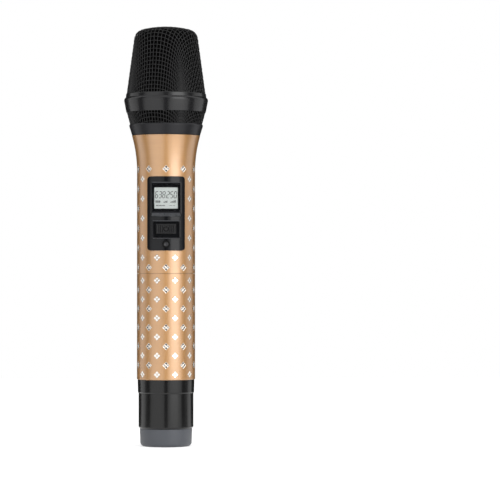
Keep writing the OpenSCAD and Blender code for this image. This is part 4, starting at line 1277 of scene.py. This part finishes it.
def floor_finish():
    """Pale floor that the camera sees as white, with the shadow kept."""
    made = finish("floor_pale", look("mic_stage").floor, 0.0, 0.9)
    tree = made.node_tree
    link = tree.links.new
    part, glow, both = (shading(tree, kind) for kind in ("Math", "Emission", "AddShader"))
    part.operation = "MULTIPLY"
    part.inputs[1].default_value = 0.5
    link(seen_by(tree, "Is Camera Ray", "Is Glossy Ray"), part.inputs[0])
    link(part.outputs[0], glow.inputs["Strength"])
    link(tree.nodes["Principled BSDF"].outputs[0], both.inputs[0])
    link(glow.outputs[0], both.inputs[1])
    link(both.outputs[0], tree.nodes["Material Output"].inputs["Surface"])
    return made


def aim(name, data, place, target):
    """Puts a camera or lamp at a place and points it at a target."""
    made = bpy.data.objects.new(name, data)
    bpy.context.scene.collection.objects.link(made)
    made.location = place
    made.rotation_euler = (Vector(target) - Vector(place)).to_track_quat("-Z", "Y").to_euler()
    return made


def softbox(name, watts, azimuth, wide):
    """Upright rectangular lamp, at an angle to the right of the camera's way."""
    lamp = bpy.data.lights.new(name, "AREA")
    lamp.shape = "RECTANGLE"
    lamp.size, lamp.size_y, lamp.energy = wide, SOFTBOX_TALL, watts
    place = round_z(SOFTBOX_FAR, math.radians(azimuth), SOFTBOX_Z).tolist()
    aim(name, lamp, place, (0, 0, SOFTBOX_Z))


def card(name, distance, near, far):
    """Dim card that shows in reflections alone: a wedge on the floor near the object, another
    further out and a wall at its end. near and far give the wedge's two angles to the right of the
    front, and its glow."""
    low, bend = 0.001, 0.6 * distance
    rows = [(near, 0.13, low), (near, bend, low), (far, bend, low), (far, distance, low),
            (far, distance, 1.6)]
    points = [round_z(r, math.radians(a), z).tolist() for (*ends, _), r, z in rows for a in ends]
    made = plane(name, points, [(0, 1, 3, 2), (4, 5, 7, 6), (6, 7, 9, 8)])
    for part, glow in (("near", near[2]), ("far", far[2])):
        made.data.materials.append(finish(
            f"{name}_{part}", (0, 0, 0), 0.0, 1.0, Specular_IOR_Level=0.0,
            Emission_Color=(1, 1, 1, 1), Emission_Strength=glow,
        ))
    made.data.polygons.foreach_set("material_index", [0, 1, 1])
    made.visible_camera = made.visible_diffuse = made.visible_shadow = False
    made.visible_transmission = False


class MIC_OT_stage(bpy.types.Operator):
    """Camera, softboxes, dark cards, floor and white surround"""

    bl_idname = "mic.stage"
    bl_label = "Stage"

    def execute(self, context):
        stage, scene = look("mic_stage"), context.scene
        scene.view_settings.view_transform = "Standard"
        camera = bpy.data.cameras.new("camera")
        camera.lens, camera.sensor_width = stage.lens, 36.0
        scene.camera = aim("camera", camera, (0, -stage.distance, 0.108), (0.0521, 0, 0.1215))
        floor = plane("floor", [(-1.5, -1.5, 0), (1.5, -1.5, 0), (1.5, 1.0, 0), (-1.5, 1.0, 0)])
        floor.data.materials.append(floor_finish())
        white_behind()
        softbox("softbox_right", stage.right, 35, 0.74)
        softbox("softbox_left", stage.left, -37, 0.8)
        for each in CARDS:
            card(*each)
        return {"FINISHED"}


OPERATORS = (
    MIC_OT_stage, MIC_OT_gold_tubes, MIC_OT_tail, MIC_OT_head_rings, MIC_OT_woven_mesh,
    MIC_OT_foam, MIC_OT_panel, MIC_OT_controls, MIC_OT_threads, MIC_OT_coils, MIC_OT_leads,
    MIC_OT_cells, MIC_OT_inside,
)


class MIC_PT_sidebar(bpy.types.Panel):
    """Sidebar list of the sizes, colours and pieces"""

    bl_idname = "MIC_PT_sidebar"
    bl_label = "Microphone"
    bl_space_type = "VIEW_3D"
    bl_region_type = "UI"
    bl_category = "Microphone"

    def draw(self, context):
        for name, group in LOOKS.items():
            box = self.layout.box()
            for prop in group.__annotations__:
                box.prop(getattr(context.scene, name), prop)
        for each in OPERATORS:
            self.layout.operator(each.bl_idname)


CLASSES = (*LOOKS.values(), *OPERATORS, MIC_PT_sidebar)


def register():
    for each in CLASSES:
        bpy.utils.register_class(each)
    for name, group in LOOKS.items():
        setattr(bpy.types.Scene, name, bpy.props.PointerProperty(type=group))


def unregister():
    for name in LOOKS:
        delattr(bpy.types.Scene, name)
    for each in reversed(CLASSES):
        bpy.utils.unregister_class(each)


def main():
    register()
    for each in OPERATORS:
        area, _, action = each.bl_idname.partition(".")
        getattr(getattr(bpy.ops, area), action)()


if __name__ == "__main__":
    main()
